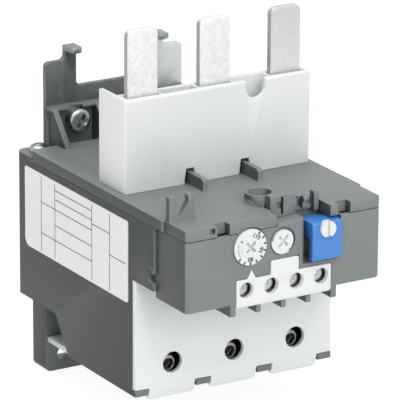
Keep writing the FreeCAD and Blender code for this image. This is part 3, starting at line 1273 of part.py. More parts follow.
def compensation_strip():
    """Bimetal strip on the trip lever that cancels the room's temperature."""
    half = STRIP_THICK / 2
    front = TRIP_PIVOT_Y + TRIP_HUB_R - 0.1
    low = TRIP_LEVER_Z + TRIP_LEVER_THICK + 0.3
    strip = box(TRIP_PIVOT_X - half, TRIP_PIVOT_X + half, front, STRIP_END_Y, low, SLIDE_Z + SLIDE_THICK)
    hub = rod_z(TRIP_HUB_R, low - 1, SLIDE_Z + SLIDE_THICK + 1, TRIP_PIVOT_X, TRIP_PIVOT_Y)
    return cut(strip, hub)


def contact_carrier():
    """Plastic bar that moves both contact bridges."""
    low = TRIP_LEVER_Z
    body = box(-CARRIER_HALF, CARRIER_HALF, CARRIER_FRONT_Y, CARRIER_FRONT_Y + CARRIER_DEPTH, low,
               low + TRIP_LEVER_THICK)
    return rounded(body, 0.6, ALONG_Z, lambda p: True)


def contact_bridge(first):
    """Silvered strip under the carrier that joins two contact posts."""
    x0 = AUX_CENTRES[first] - 1.9
    x1 = AUX_CENTRES[first + 1] + 1.9
    return box(x0, x1, CONTACT_BRIDGE_Y, CONTACT_BRIDGE_Y + CONTACT_STRIP, CONTROL_FLOOR_Z + 0.4,
               TRIP_LEVER_Z)


def latch_frame():
    """Moulded frame in the bay of the deck, with two upright panels."""
    left = BAY_LEFT_X + 1.25
    right = BAY_RIGHT_X - 0.9
    rear = FRAME_FRONT_Y + FRAME_DEPTH
    base = box(left, right, POCKET_BACK_Y - 1.2, rear + 0.4, PAD_Z, PAD_Z + FRAME_BASE)
    left_panel = box(left, left + 10.5, FRAME_FRONT_Y, rear, PAD_Z, FRAME_TOP_Z)
    right_panel = box(right - 2.0, right, FRAME_FRONT_Y, rear, PAD_Z, FRAME_TOP_Z - 1.0)
    body = join(base, left_panel, right_panel)
    slit_x = left + FRAME_SLIT_PLACE
    slit = box(slit_x, slit_x + FRAME_SLIT, FRAME_FRONT_Y - 1, rear - 1, PAD_Z + 0.5, FRAME_TOP_Z - 0.8)
    window = box(slit_x - 1.6, slit_x + 0.2, FRAME_FRONT_Y - 1, FRAME_FRONT_Y + 1.6, PAD_Z + 3.0,
                 PAD_Z + 5.4)
    return cut(body, slit, window)


def latch_spring():
    """Bent leaf spring between the panels of the latch frame."""
    x0 = BAY_LEFT_X + LEAF_PLACE
    rear = FRAME_FRONT_Y + FRAME_DEPTH
    base_z = PAD_Z + FRAME_BASE
    outline = [(rear, base_z), (rear, base_z + 4.6), (rear - 2.4, base_z + 5.2), (rear - 2.4, base_z + 4.6),
               (rear - 0.6, base_z + 4.0), (rear - 0.6, base_z)]
    return profile_yz(outline, x0, x0 + LEAF_WIDTH)


def latch_pawl():
    """Small hooked pawl beside the leaf spring."""
    x0 = BAY_LEFT_X + PAWL_PLACE
    rear = FRAME_FRONT_Y + FRAME_DEPTH
    base_z = PAD_Z + FRAME_BASE
    body = box(x0, x0 + PAWL_WIDTH, rear - 2.6, rear, base_z, base_z + 3.4)
    hook = rod_x(1.2, x0, x0 + PAWL_WIDTH, rear - 2.2, base_z + 3.2)
    return join(body, hook)


def all_parts():
    """Every node of the relay by name."""
    parts = {
        "base_housing": base_housing(),
        "deck_cover": deck_cover(),
        "module_case": module_case(),
        "aux_terminal_plate": aux_plate(),
        "lug_shroud": lug_shroud(),
        "terminal_cover": terminal_cover(),
        "bottom_tray": bottom_tray(),
        "side_label": side_label(),
        "fixing_bracket": fixing_bracket(),
        "bracket_screws": bracket_screws(),
        "rim_screws": rim_screws(),
        "setting_dial": setting_dial(),
        "test_disc": test_disc(),
        "reset_lever": reset_lever(),
        "reset_stud": reset_stud(),
        "reset_spring": reset_spring(),
        "trip_slide": trip_slide(),
        "phase_failure_slide": phase_failure_slide(),
        "trip_pin": trip_pin(),
        "trip_lever": trip_lever(),
        "compensation_strip": compensation_strip(),
        "contact_carrier": contact_carrier(),
        "break_contact_bridge": contact_bridge(0),
        "make_contact_bridge": contact_bridge(2),
        "latch_frame": latch_frame(),
        "latch_spring": latch_spring(),
        "latch_pawl": latch_pawl(),
    }
    for index in range(len(POLE_CENTRES)):
        number = index + 1
        parts[f"line_lug_{number}"] = line_lug(index)
        parts[f"terminal_bar_{number}"] = terminal_bar(index)
        parts[f"bimetal_{number}"] = bimetal(index)
        parts[f"heater_{number}"] = heater(index)
        parts[f"lift_clamp_{number}"] = lift_clamp(index)
        parts[f"clamp_screw_{number}"] = clamp_screw(index)
    for index in range(len(AUX_CENTRES)):
        number = index + 1
        parts[f"aux_strip_{number}"] = aux_strip(index)
        parts[f"aux_saddle_{number}"] = aux_saddle(index)
        parts[f"aux_screw_{number}"] = aux_screw(index)
    return parts


def main():
    """Write one STEP file for each node."""
    os.makedirs("parts", exist_ok=True)
    for name, shape in all_parts().items():
        shape.exportStep(f"parts/{name}.step")
        print(name, len(shape.Solids), round(shape.Volume, 1), shape.isValid())


if __name__ == "__main__":
    main()
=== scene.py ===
"""Dressed model of a three-pole thermal overload relay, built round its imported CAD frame.

Lengths are in millimetres, apart from names that end in _m and the coordinates of finished meshes,
which are in metres.
"""

import logging
import math
from collections.abc import Sequence
from dataclasses import dataclass, field
from enum import Enum

import bmesh
import bpy
from mathutils import Matrix, Vector


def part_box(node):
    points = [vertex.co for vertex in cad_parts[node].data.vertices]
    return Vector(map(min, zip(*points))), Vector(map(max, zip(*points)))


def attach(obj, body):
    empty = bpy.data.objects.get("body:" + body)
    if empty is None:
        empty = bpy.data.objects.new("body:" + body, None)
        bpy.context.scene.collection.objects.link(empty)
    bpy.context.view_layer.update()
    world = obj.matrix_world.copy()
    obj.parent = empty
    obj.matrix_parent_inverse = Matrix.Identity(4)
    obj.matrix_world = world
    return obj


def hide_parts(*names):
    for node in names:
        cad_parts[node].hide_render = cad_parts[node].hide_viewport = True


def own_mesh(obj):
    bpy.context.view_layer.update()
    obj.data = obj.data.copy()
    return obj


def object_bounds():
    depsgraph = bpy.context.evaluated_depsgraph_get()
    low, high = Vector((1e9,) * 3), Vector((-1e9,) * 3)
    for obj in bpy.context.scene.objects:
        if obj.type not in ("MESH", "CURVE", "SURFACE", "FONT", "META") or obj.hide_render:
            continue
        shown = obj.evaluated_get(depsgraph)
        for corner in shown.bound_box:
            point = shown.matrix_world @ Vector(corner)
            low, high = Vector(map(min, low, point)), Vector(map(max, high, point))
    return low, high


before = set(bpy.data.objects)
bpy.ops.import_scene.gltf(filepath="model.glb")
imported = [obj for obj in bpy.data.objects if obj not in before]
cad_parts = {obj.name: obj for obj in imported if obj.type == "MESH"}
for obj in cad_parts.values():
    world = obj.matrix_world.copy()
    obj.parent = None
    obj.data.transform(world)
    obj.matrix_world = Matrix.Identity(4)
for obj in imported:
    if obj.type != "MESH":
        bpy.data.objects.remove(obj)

CAD_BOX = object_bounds()
MM = 0.001
LOG = logging.getLogger("relay")
HOUSING = "relay_body"

Span = tuple[float, float]
Point = tuple[float, float, float]
Outline = Sequence[tuple[float, float]]
Mesh = bmesh.types.BMesh
Socket = bpy.types.NodeSocket

# Meshing.
ROUND_STEPS = 40  # steps round a turned piece
ARC_DEGREES = range(0, 91, 10)  # steps of a quarter arc in a domed head
COIL_STEPS = 28  # steps along a spring's wire in one turn
WIRE_SIDES = 8
WELD_MM = 0.002  # points of a CAD mesh that are closer than this become one
FLAT_DEGREES = 1.0  # faces that meet at less than this are one flat face
SHARP_DEGREES = 40.0  # edges sharper than this are rounded
SMOOTH_DEGREES = 35.0  # faces that meet at less than this are shaded smooth
CUT_START = 0.1  # a tapered recess starts this far above the face that it is cut into

# Sockets of Blender's colour mix node.
MIX_SHARE, MIX_UNDER, MIX_OVER, MIX_RESULT = 0, 6, 7, 2

# Shading. A span says where a mix starts and where it is full.
EDGE_SPAN = (0.995, 0.80)  # flatness over which a moulding's edge turns to its painted highlight
RIM_SPAN = (0.99, 0.80)  # the same for the painted tone on the outline of a metal piece
PAINTED_SIDE_SPAN = (0.80, 0.97)  # how far a moulding's face has to look sideways to take the painted side shading
METAL_SIDE_SHADE_SPAN = (0.6, 0.95)  # the same for the painted shade on a metal strip's sides
FRONT_SPAN = (0.5, -0.1)  # normal along Y over which a face takes the painted shading, so the back takes none
PATCH_SPAN = (0.35, 0.65)  # part of the noise that runs from one tone of a metal to the other
ROLLED_SCALE = (1.0, 1.0, 0.025)  # rolling draws the pattern out forty times along Z
ROUGHNESS_SWING = 0.06  # the grain of a moulding varies its roughness by this much each way
LEAST_ROUGHNESS = 0.05
PLASTIC_IOR = 1.5
WHITE = (1, 1, 1, 1)


class Axis(Enum):
    """Direction that a turned piece is built along."""

    Y = "Y"
    Z = "Z"

    def matrix(self) -> Matrix:
        """Rotation that carries local Z to this axis."""
        if self is Axis.Y:
            return Matrix.Rotation(math.radians(-90), 4, "X")
        return Matrix.Identity(4)


def linear(hex_colour: str) -> tuple[float, float, float, float]:
    """Turn an sRGB hex value into linear RGBA.

    Args:
        hex_colour: Six hex digits with a leading hash.

    Returns:
        Red, green, blue and alpha, from 0 to 1.
    """
    channels = [int(hex_colour[i:i + 2], 16) / 255 for i in (1, 3, 5)]
    red, green, blue = [c / 12.92 if c <= 0.04045 else ((c + 0.055) / 1.055) ** 2.4 for c in channels]
    return red, green, blue, 1.0


def add_node(tree: bpy.types.NodeTree, kind: str, links: dict | None = None,
             **settings: object) -> bpy.types.Node:
    """Add one shader node with its settings and incoming links.

    Args:
        tree: Node tree that the node goes into.
        kind: Blender's name of the node type.
        links: Input name or number to the output socket that feeds it.
        settings: Node attributes, or input values by their name with spaces as underscores.

    Returns:
        The new node.
    """
    node = tree.nodes.new(kind)
    for name, value in settings.items():
        if hasattr(node, name) and name not in node.inputs:
            setattr(node, name, value)
        else:
            node.inputs[name.replace("_", " ")].default_value = value
    for name, socket in (links or {}).items():
        tree.links.new(socket, node.inputs[name])
    return node


def seen_or_mirrored(tree: bpy.types.NodeTree) -> Socket:
    """Tell camera and glossy rays from the rest.

    Args:
        tree: Node tree of the floor or the world.

    Returns:
        A value that is 1 for those rays and 0 for others.
    """
    rays = add_node(tree, "ShaderNodeLightPath").outputs
    return add_node(tree, "ShaderNodeMath", {0: rays["Is Camera Ray"], 1: rays["Is Glossy Ray"]},
                    operation="MAXIMUM").outputs[0]


def linked(name: str, data: bpy.types.ID) -> bpy.types.Object:
    """Make an object and link it to the scene.

    Args:
        name: Name of the object.
        data: Its mesh, lamp or camera.

    Returns:
        The object.
    """
    thing = bpy.data.objects.new(name, data)
    bpy.context.scene.collection.objects.link(thing)
    return thing


class Recipe:
    """A material under construction, with the steps that several finishes share."""

    def __init__(self, name: str) -> None:
        """Begin a node material.

        Args:
            name: Name of the material.
        """
        self.material = bpy.data.materials.new(name)
        self.material.use_nodes = True
        self.tree = self.material.node_tree
        self.shader = self.tree.nodes["Principled BSDF"]
        self.coordinates = add_node(self.tree, "ShaderNodeTexCoord").outputs["Object"]

    def feed(self, name: str, socket: Socket) -> None:
        """Link a socket to an input of the shader.

        Args:
            name: Name of the input.
            socket: What feeds it.
        """
        self.tree.links.new(socket, self.shader.inputs[name])

    def noise(self, vector: Socket, size_mm: float, detail: float, roughness: float = 0.5) -> Socket:
        """Add a noise pattern.

        Args:
            vector: Coordinates that it is read at.
            size_mm: Size of its patches.
            detail: How many finer layers it has.
            roughness: Weight of the finer layers.

        Returns:
            Its value, from 0 to 1.
        """
        return add_node(self.tree, "ShaderNodeTexNoise", {"Vector": vector}, Scale=1.0 / (size_mm * MM),
                        Detail=detail, Roughness=roughness).outputs["Fac"]

    def ranged(self, value: Socket, source: Span = (0.0, 1.0), target: Span = (0.0, 1.0)) -> Socket:
        """Map a value from one span to another.

        Args:
            value: The value.
            source: Ends of its own span.
            target: Ends of the new span.

        Returns:
            The mapped value.
        """
        node = add_node(self.tree, "ShaderNodeMapRange", {0: value})
        for number, end in enumerate((*source, *target), 1):
            node.inputs[number].default_value = end
        return node.outputs[0]

    def mixed(self, share: Socket, under: Socket | str, over: str) -> Socket:
        """Mix two colours.

        Args:
            share: Share of the upper colour.
            under: Lower colour, as a socket or in sRGB.
            over: Upper colour, in sRGB.

        Returns:
            The mixed colour.
        """
        mix = add_node(self.tree, "ShaderNodeMix", {MIX_SHARE: share}, data_type="RGBA")
        if isinstance(under, str):
            mix.inputs[MIX_UNDER].default_value = linear(under)
        else:
            self.tree.links.new(under, mix.inputs[MIX_UNDER])
        mix.inputs[MIX_OVER].default_value = linear(over)
        return mix.outputs[MIX_RESULT]

    def rounded(self, edge_mm: float) -> Socket:
        """Add a normal that is rounded over the edges.

        Args:
            edge_mm: Radius of the rounding.

        Returns:
            The rounded normal.
        """
        return add_node(self.tree, "ShaderNodeBevel", samples=6, Radius=edge_mm * MM).outputs[0]

    def flatness(self, rounded: Socket) -> Socket:
        """Compare the true normal with a rounded one.

        Args:
            rounded: The rounded normal.

        Returns:
            A value that is 1 on a flat face and falls towards an edge.
        """
        normal = add_node(self.tree, "ShaderNodeNewGeometry").outputs["Normal"]
        return add_node(self.tree, "ShaderNodeVectorMath", {0: rounded, 1: normal},
                        operation="DOT_PRODUCT").outputs["Value"]

    def facing(self, axis: str) -> Socket:
        """Tell how far a face looks along an axis.

        Args:
            axis: X, Y or Z.

        Returns:
            That component of the normal.
        """
        normal = add_node(self.tree, "ShaderNodeNewGeometry").outputs["Normal"]
        return add_node(self.tree, "ShaderNodeSeparateXYZ", {"Vector": normal}).outputs[axis]

    def sideways(self) -> Socket:
        """Tell how far a face looks to the left or the right, from 0 to 1."""
        return add_node(self.tree, "ShaderNodeMath", {0: self.facing("X")}, operation="ABSOLUTE").outputs[0]

    def bump(self, height: Socket, strength: float, depth_mm: float, normal: Socket | None = None) -> None:
        """Give the shader a relief.

        Args:
            height: Pattern of the relief.
            strength: How much of it shows.
            depth_mm: How deep it is.
            normal: Normal that it is added to, or none for the true one.
        """
        links = {"Height": height} if normal is None else {"Height": height, "Normal": normal}
        self.feed("Normal", add_node(self.tree, "ShaderNodeBump", links, Strength=strength,
                                     Distance=depth_mm * MM).outputs[0])


@dataclass(frozen=True)
class Moulded:
    """Injection-moulded thermoplastic: fine spark-eroded grain, with painted highlights on its edges and
    painted light and shade on its side faces.
    """

    name: str
    colour: str
    mottle: str
    # painted highlight for the edges
    edge: str
    # painted light and shade for the faces that look sideways
    painted_side_shading: str
    roughness: float = 0.5
    grain_mm: float = 0.5
    grain_depth_mm: float = 0.02
    edge_mm: float = 0.35

    def build(self) -> bpy.types.Material:
        """Make the node tree: cloudy colour, painted edge highlights, painted side shading and moulded grain.
        """
        recipe = Recipe(self.name)
        # Cloudiness at about 12 mm: glass-filled plastic cools unevenly, which gives broad faint patches.
        cloud = recipe.noise(recipe.coordinates, size_mm=12.5, detail=3.0, roughness=0.6)
        colour = recipe.mixed(cloud, self.colour, self.mottle)
        # Painted highlight: the edges are drawn lighter than the faces, as if the light caught them.
        rounded = recipe.rounded(self.edge_mm)
        colour = recipe.mixed(recipe.ranged(recipe.flatness(rounded), EDGE_SPAN), colour, self.edge)
        # Painted light and shade: faces that look to the left or the right take a tone of their own, darker
        # than the front on most mouldings and lighter on the shroud.
        colour = recipe.mixed(recipe.ranged(recipe.sideways(), PAINTED_SIDE_SPAN), colour, self.painted_side_shading)
        recipe.feed("Base Color", colour)
        # Moulded grain: the real one is about 0.1 mm and is drawn at grain_mm so that it shows.
        grain = recipe.noise(recipe.coordinates, self.grain_mm, detail=2.0)
        recipe.bump(grain, strength=0.35, depth_mm=self.grain_depth_mm, normal=rounded)
        swing = (self.roughness - ROUGHNESS_SWING, self.roughness + ROUGHNESS_SWING)
        recipe.feed("Roughness", recipe.ranged(grain, target=swing))
        recipe.shader.inputs["IOR"].default_value = PLASTIC_IOR
        return recipe.material


@dataclass(frozen=True)
class PaintedShading:
    """Painted shading: a tone laid over a piece's front, towards its right and its top, lighter for a painted
    reflection and darker for painted shade.
    """

    colour: str
    across_m: Span
    upward_m: Span

    def over(self, recipe: Recipe, tone: Socket) -> Socket:
        """Mix the tone over another.

        Args:
            recipe: Material that it is for.
            tone: Colour that it fades from.

        Returns:
            The mixed colour.
        """
        spot = add_node(recipe.tree, "ShaderNodeSeparateXYZ", {"Vector": recipe.coordinates})
        share = recipe.ranged(spot.outputs["X"], self.across_m)
        for value, span in ((spot.outputs["Z"], self.upward_m), (recipe.facing("Y"), FRONT_SPAN)):
            share = add_node(recipe.tree, "ShaderNodeMath", {0: share, 1: recipe.ranged(value, span)},
                             operation="MULTIPLY").outputs[0]
        return recipe.mixed(share, tone, self.colour)


@dataclass(frozen=True)
class Plated:
    """Metal with a plated or rolled skin: two tones in patches or lines, with painted shade on its sides, a
    painted rim tone and painted shading across its front.
    """

    name: str
    colour: str
    mottle: str
    roughness: float = 0.3
    spread: float = 0.1
    patch_mm: float = 1.5
    line_mm: float = 0.0
    bump_mm: float = 0.01
    metallic: float = 1.0
    edge_mm: float = 0.25
    # painted shade for the faces that look sideways
    side: str = ""
    # painted tone for the outline: a highlight on dark metal, shade on tin
    rim: str = ""
    painted_shading: tuple[PaintedShading, ...] = ()

    def build(self) -> bpy.types.Material:
        """Make the node tree: two tones, painted shading, painted side shade, a painted rim tone, roughness
        and a shallow bump.
        """
        recipe = Recipe(self.name)
        source = recipe.coordinates
        if self.line_mm:
            # Rolls and dies draw the skin out into fine lines along the strip.
            mapping = add_node(recipe.tree, "ShaderNodeMapping", {"Vector": source})
            mapping.inputs["Scale"].default_value = ROLLED_SCALE
            source = mapping.outputs[0]
        # A plating bath leaves crystal patches of patch_mm, one tone a little darker than the other.
        patch = recipe.noise(source, self.line_mm or self.patch_mm, detail=5.0, roughness=0.65)
        colour = recipe.mixed(recipe.ranged(patch, PATCH_SPAN), self.colour, self.mottle)
        # Painted reflections and painted shade, laid on by place
        for painted_layer in self.painted_shading:
            colour = painted_layer.over(recipe, colour)
        rounded = recipe.rounded(self.edge_mm)
        if self.side:
            # Painted shade: faces that look to the left or the right are drawn darker than the front.
            colour = recipe.mixed(recipe.ranged(recipe.sideways(), METAL_SIDE_SHADE_SPAN), colour, self.side)
        if self.rim:
            # Painted light and shade along the outline: a painted highlight on dark steel, painted shade on
            # tin.
            colour = recipe.mixed(recipe.ranged(recipe.flatness(rounded), RIM_SPAN), colour, self.rim)
        recipe.feed("Base Color", colour)
        smoothest = max(self.roughness - self.spread, LEAST_ROUGHNESS)
        recipe.feed("Roughness", recipe.ranged(patch, target=(smoothest, self.roughness + self.spread)))
        recipe.bump(patch, strength=0.4, depth_mm=self.bump_mm, normal=rounded)
        recipe.shader.inputs["Metallic"].default_value = self.metallic
        return recipe.material


@dataclass(frozen=True)
class Printed:
    """Matt printing ink or label film with a faint paper-like grain."""

    name: str
    colour: str
    mottle: str
    roughness: float = 0.6

    def build(self) -> bpy.types.Material:
        """Make the node tree: two close tones and a very shallow bump."""
        recipe = Recipe(self.name)
        # A matt film is embossed by its rollers, which leaves a grain of under a millimetre.
        grain = recipe.noise(recipe.coordinates, size_mm=0.8, detail=4.0)
        recipe.feed("Base Color", recipe.mixed(grain, self.colour, self.mottle))
        recipe.bump(grain, strength=0.2, depth_mm=0.01)
        recipe.shader.inputs["Roughness"].default_value = self.roughness
        return recipe.material


Finish = Moulded | Plated | Printed


@dataclass(frozen=True)
class Finishes:
    """Every finish of the relay, each named for the real material; the housing's finish is a darker copy of
    the grey polyamide, which is painted shade.
    """

    # A moulding's tones: colour, random mottle, the painted edge highlight and the painted side shading.
    grey_polyamide: Moulded = Moulded("grey glass-filled polyamide", "#727876", "#7A807E", "#939997",
                                      "#434947")
    # A copy of the grey polyamide drawn darker, with a darker side tone: painted shade on the housing.
    housing_polyamide_painted_shade: Moulded = Moulded("grey glass-filled polyamide with painted shade", "#6C7270", "#747A78", "#8B918F",
                                         "#383E3C")
    white_polyamide: Moulded = Moulded("white moulded polyamide", "#E6EAE9", "#EBEFEE", "#F4F6F6", "#E2E6E5",
                                       roughness=0.42, grain_mm=0.6, grain_depth_mm=0.012)
    shroud_polyamide: Moulded = Moulded("milk-white flame-retardant polyamide", "#DADDDC", "#DFE2E1",
                                        "#EEF0F0", "#EDEFEF", roughness=0.42, grain_mm=0.6,
                                        grain_depth_mm=0.012)
    dial_acetal: Moulded = Moulded("white acetal", "#D8DBDA", "#DEE1E0", "#EEF0F0", "#D8DBDA", roughness=0.35,
                                   grain_mm=0.4, grain_depth_mm=0.008, edge_mm=0.2)
    blue_acetal: Moulded = Moulded("blue acetal", "#3D7DC8", "#4785CD", "#79A8DE", "#306EBA", roughness=0.36,
                                   grain_mm=0.4, grain_depth_mm=0.01, edge_mm=0.3)
    inner_polyester: Moulded = Moulded("natural thermoplastic polyester", "#C9BFA6", "#D0C7B0", "#DDD5C2",
                                       "#C4BAA0")
    # Its side tone, rim tone and front fade are painted shade: darker sides, a darker outline and a front
    # darker towards the right and the top.
    tin_plate: Plated = Plated("hot-dip tin on copper", "#ECEDED", "#DCDDDD", roughness=0.45, patch_mm=1.8,
                               bump_mm=0.02, metallic=0.6, edge_mm=0.5, side="#A9A9A7", rim="#A6A8A8",
                               painted_shading=(PaintedShading("#C2C4C4", (0.015, 0.024), (0.035, 0.1)),))
    zinc_plate: Plated = Plated("clear-passivated zinc on steel", "#C4CACA", "#939C9C", roughness=0.28,
                                spread=0.08, patch_mm=0.9)
    bright_zinc: Plated = Plated("bright zinc on steel", "#F1F3F3", "#E4E7E7", roughness=0.38, spread=0.06,
                                 patch_mm=1.6, bump_mm=0.005, metallic=0.35)
    # Its rim is a painted highlight, and its two fades are painted reflections: one on a patch towards the
    # right, one over the sheet above a height.
    dark_sheet: Plated = Plated("dark passivated steel sheet", "#7A7E7D", "#6B6F6E", roughness=0.42,
                                spread=0.08, patch_mm=3.0, metallic=0.75, rim="#D5D8D8",
                                painted_shading=(PaintedShading("#D2D5D5", (0.012, 0.019), (0.038, 0.046)),
                                       PaintedShading("#8E9291", (-0.5, -0.4), (0.0642, 0.0658))))
    # Its rim is a painted highlight along the outline.
    black_oxide: Plated = Plated("black-oxide steel", "#3A3D3F", "#45484A", roughness=0.45, spread=0.08,
                                 patch_mm=1.0, metallic=0.7, edge_mm=0.35, rim="#D9DCDC")
    rolled_copper: Plated = Plated("rolled copper", "#C98A63", "#B87750", roughness=0.35, line_mm=0.25)
    contact_brass: Plated = Plated("half-hard brass strip", "#CDB173", "#BFA061", roughness=0.32, spread=0.08,
                                   line_mm=0.2)
    heater_alloy: Plated = Plated("nickel-chrome heater tape", "#8D857C", "#787068", roughness=0.45,
                                  line_mm=0.2)
    bimetal_strip: Plated = Plated("rolled bimetal strip", "#B3ADA3", "#A19B92", roughness=0.38, line_mm=0.2)
    spring_wire: Plated = Plated("drawn spring wire", "#A9ABAE", "#8F9295", spread=0.08, patch_mm=0.5)
    label_film: Printed = Printed("matt polyester label film", "#F0F1EE", "#F4F5F2", roughness=0.45)
    black_ink: Printed = Printed("black printing ink", "#303234", "#3B3D40")


class Workshop:
    """Makes, dresses and mounts the pieces of the scene."""

    def __init__(self) -> None:
        """Start with no materials built."""
        self.built: dict[str, bpy.types.Material] = {}

    def material(self, finish: Finish) -> bpy.types.Material:
        """Build a finish once and hand out the same material after that.

        Args:
            finish: The finish to build.

        Returns:
            Its Blender material.
        """
        if finish.name not in self.built:
            self.built[finish.name] = finish.build()
        return self.built[finish.name]

    def dress_node(self, node: str, finish: Finish) -> None:
        """Give a CAD node a finish.

        Args:
            node: Name of the CAD node.
            finish: The finish that it gets.
        """
        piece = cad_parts[node]
        piece.data.materials.clear()
        piece.data.materials.append(self.material(finish))

    def mount(self, name: str, mesh: Mesh, finish: Finish, body: str,
              replaces: tuple[str, ...] = ()) -> bpy.types.Object:
        """Turn a mesh into a piece of the relay.

        Args:
            name: Name of the piece.
            mesh: Its mesh, in metres in the relay's frame; it is freed.
            finish: Its finish.
            body: CAD body that it moves with.
            replaces: CAD nodes that it stands for.

        Returns:
            The new object.
        """
        bmesh.ops.recalc_face_normals(mesh, faces=mesh.faces)
        data = bpy.data.meshes.new(name)
        mesh.to_mesh(data)
        mesh.free()
        data.materials.append(self.material(finish))
        data.shade_smooth()
        data.set_sharp_from_angle(angle=math.radians(SMOOTH_DEGREES))
        piece = linked(name, data)
        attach(piece, body)
        if replaces:
            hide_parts(*replaces)
        LOG.info("piece %s rides on %s", name, body)
        return piece


WORKSHOP = Workshop()
FINISH = Finishes()


@dataclass(frozen=True)
class Block:
    """Box round a CAD node, in millimetres."""

    low: Vector
    high: Vector

    @classmethod
    def around(cls, node: str) -> "Block":
        """Measure a node.

        Args:
            node: Name of the CAD node.

        Returns:
            Its box.
        """
        low, high = [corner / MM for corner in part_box(node)]
        return cls(low, high)

    @property
    def middle(self) -> tuple[float, ...]:
        """Its centre."""
        return tuple((first + last) / 2 for first, last in zip(self.low, self.high))

    def front(self, depth: float = 0.0) -> Point:
        """Find the middle of the front face.

        Args:
            depth: How far behind that face the point lies.

        Returns:
            The point.
        """
        x, _, z = self.middle
        return x, self.low.y + depth, z


def lathe(profile: Outline, centre: Point, axis: Axis) -> Mesh:
    """Turn a profile round an axis into a closed mesh.

    Args:
        profile: Points (radius, height), from one end of the axis to the other.
        centre: Place of the profile's origin.
        axis: Axis of the lathe.

    Returns:
        The mesh, in metres.
    """
    mesh = bmesh.new()
    rings = []
    for radius, height in profile:
        if radius < 1e-6:
            rings.append([mesh.verts.new((0, 0, height))])
            continue
        ring = []
        for step in range(ROUND_STEPS):
            angle = 2 * math.pi * step / ROUND_STEPS
            ring.append(mesh.verts.new((radius * math.cos(angle), radius * math.sin(angle), height)))
        rings.append(ring)
    for lower, upper in zip(rings, rings[1:]):
        for step in range(ROUND_STEPS):
            following = (step + 1) % ROUND_STEPS
            if len(lower) == 1:
                mesh.faces.new((lower[0], upper[following], upper[step]))
            elif len(upper) == 1:
                mesh.faces.new((lower[step], lower[following], upper[0]))
            else:
                mesh.faces.new((lower[step], lower[following], upper[following], upper[step]))
    matrix = Matrix.Translation(Vector(centre) * MM) @ axis.matrix() @ Matrix.Scale(MM, 4)
    bmesh.ops.transform(mesh, matrix=matrix, verts=mesh.verts)
    return mesh


def prism(outline: Outline, low: float, high: float, turn: Matrix) -> Mesh:
    """Extrude a closed outline.

    Args:
        outline: Points (x, y).
        low: Start of the extrusion along Z.
        high: End of the extrusion.
        turn: Rotation and place that follow, in millimetres.

    Returns:
        The mesh, in metres.
    """
    mesh = bmesh.new()
    bottom = [mesh.verts.new((x, y, low)) for x, y in outline]
    face = mesh.faces.new(bottom)
    raised = bmesh.ops.extrude_face_region(mesh, geom=[face])
    moved = [item for item in raised["geom"] if isinstance(item, bmesh.types.BMVert)]
    bmesh.ops.translate(mesh, verts=moved, vec=(0, 0, high - low))
    bmesh.ops.recalc_face_normals(mesh, faces=mesh.faces)
    bmesh.ops.transform(mesh, matrix=Matrix.Scale(MM, 4) @ turn, verts=mesh.verts)
    return mesh


def bar(half: float, inner: float, outer: float) -> Outline:
    """Outline of an upright bar.

    Args:
        half: Half its width.
        inner: Its lower end.
        outer: Its upper end.

    Returns:
        Its four corners.
    """
    return [(-half, inner), (half, inner), (half, outer), (-half, outer)]


def softened(node: str, edge_mm: float, segments: int = 2) -> Mesh:
    """Copy a CAD node's mesh with its sharp edges rounded.

    Args:
        node: Name of the CAD node.
        edge_mm: Radius of the rounding.
        segments: Steps across the rounding.

    Returns:
        The rounded copy, in metres.
    """
    mesh = bmesh.new()
    mesh.from_mesh(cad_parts[node].data)
    bmesh.ops.remove_doubles(mesh, verts=mesh.verts, dist=WELD_MM * MM)
    bmesh.ops.dissolve_limit(mesh, angle_limit=math.radians(FLAT_DEGREES), verts=mesh.verts, edges=mesh.edges)
    sharp = [edge for edge in mesh.edges if len(edge.link_faces) == 2
             and edge.calc_face_angle(0.0) > math.radians(SHARP_DEGREES)]
    bmesh.ops.bevel(mesh, geom=sharp, offset=edge_mm * MM, offset_type="OFFSET", segments=segments,
                    profile=0.5, affect="EDGES", clamp_overlap=True)
    return mesh


def carved(solid: Mesh, cutter: Mesh) -> Mesh:
    """Cut one mesh out of another.

    Args:
        solid: The mesh that is cut; it is freed.
        cutter: The waste; it is freed.

    Returns:
        What is left, in metres.
    """
    holders = []
    for mesh in (solid, cutter):
        bmesh.ops.recalc_face_normals(mesh, faces=mesh.faces)
        data = bpy.data.meshes.new("loose")
        mesh.to_mesh(data)
        mesh.free()
        holders.append(linked("loose", data))
    modifier = holders[0].modifiers.new("cut", "BOOLEAN")
    modifier.operation = "DIFFERENCE"
    modifier.solver = "EXACT"
    modifier.object = holders[1]
    bpy.context.view_layer.update()
    result = bmesh.new()
    result.from_object(holders[0], bpy.context.evaluated_depsgraph_get())
    for holder in holders:
        bpy.data.meshes.remove(holder.data)
    return result


def frustum(half: Span, foot: Span, depth: float, turn: Matrix) -> Mesh:
    """Tapered block that narrows as it goes in.

    Args:
        half: Half length and half width at the face.
        foot: Half length and half width at the bottom.
        depth: How deep it goes.
        turn: Place and rotation in millimetres; it goes in along the drawing's -Z.

    Returns:
        The mesh, in metres.
    """
    mesh = bmesh.new()
    layers = []
    for (length, width), z in ((half, CUT_START), (foot, -depth)):
        corners = ((-length, -width), (length, -width), (length, width), (-length, width))
        layers.append([mesh.verts.new((x, y, z)) for x, y in corners])
    mesh.faces.new(layers[0])
    mesh.faces.new(list(reversed(layers[1])))
    for step in range(4):
        after = (step + 1) % 4
        mesh.faces.new((layers[0][step], layers[0][after], layers[1][after], layers[1][step]))
    bmesh.ops.transform(mesh, matrix=Matrix.Scale(MM, 4) @ turn, verts=mesh.verts)
    return mesh


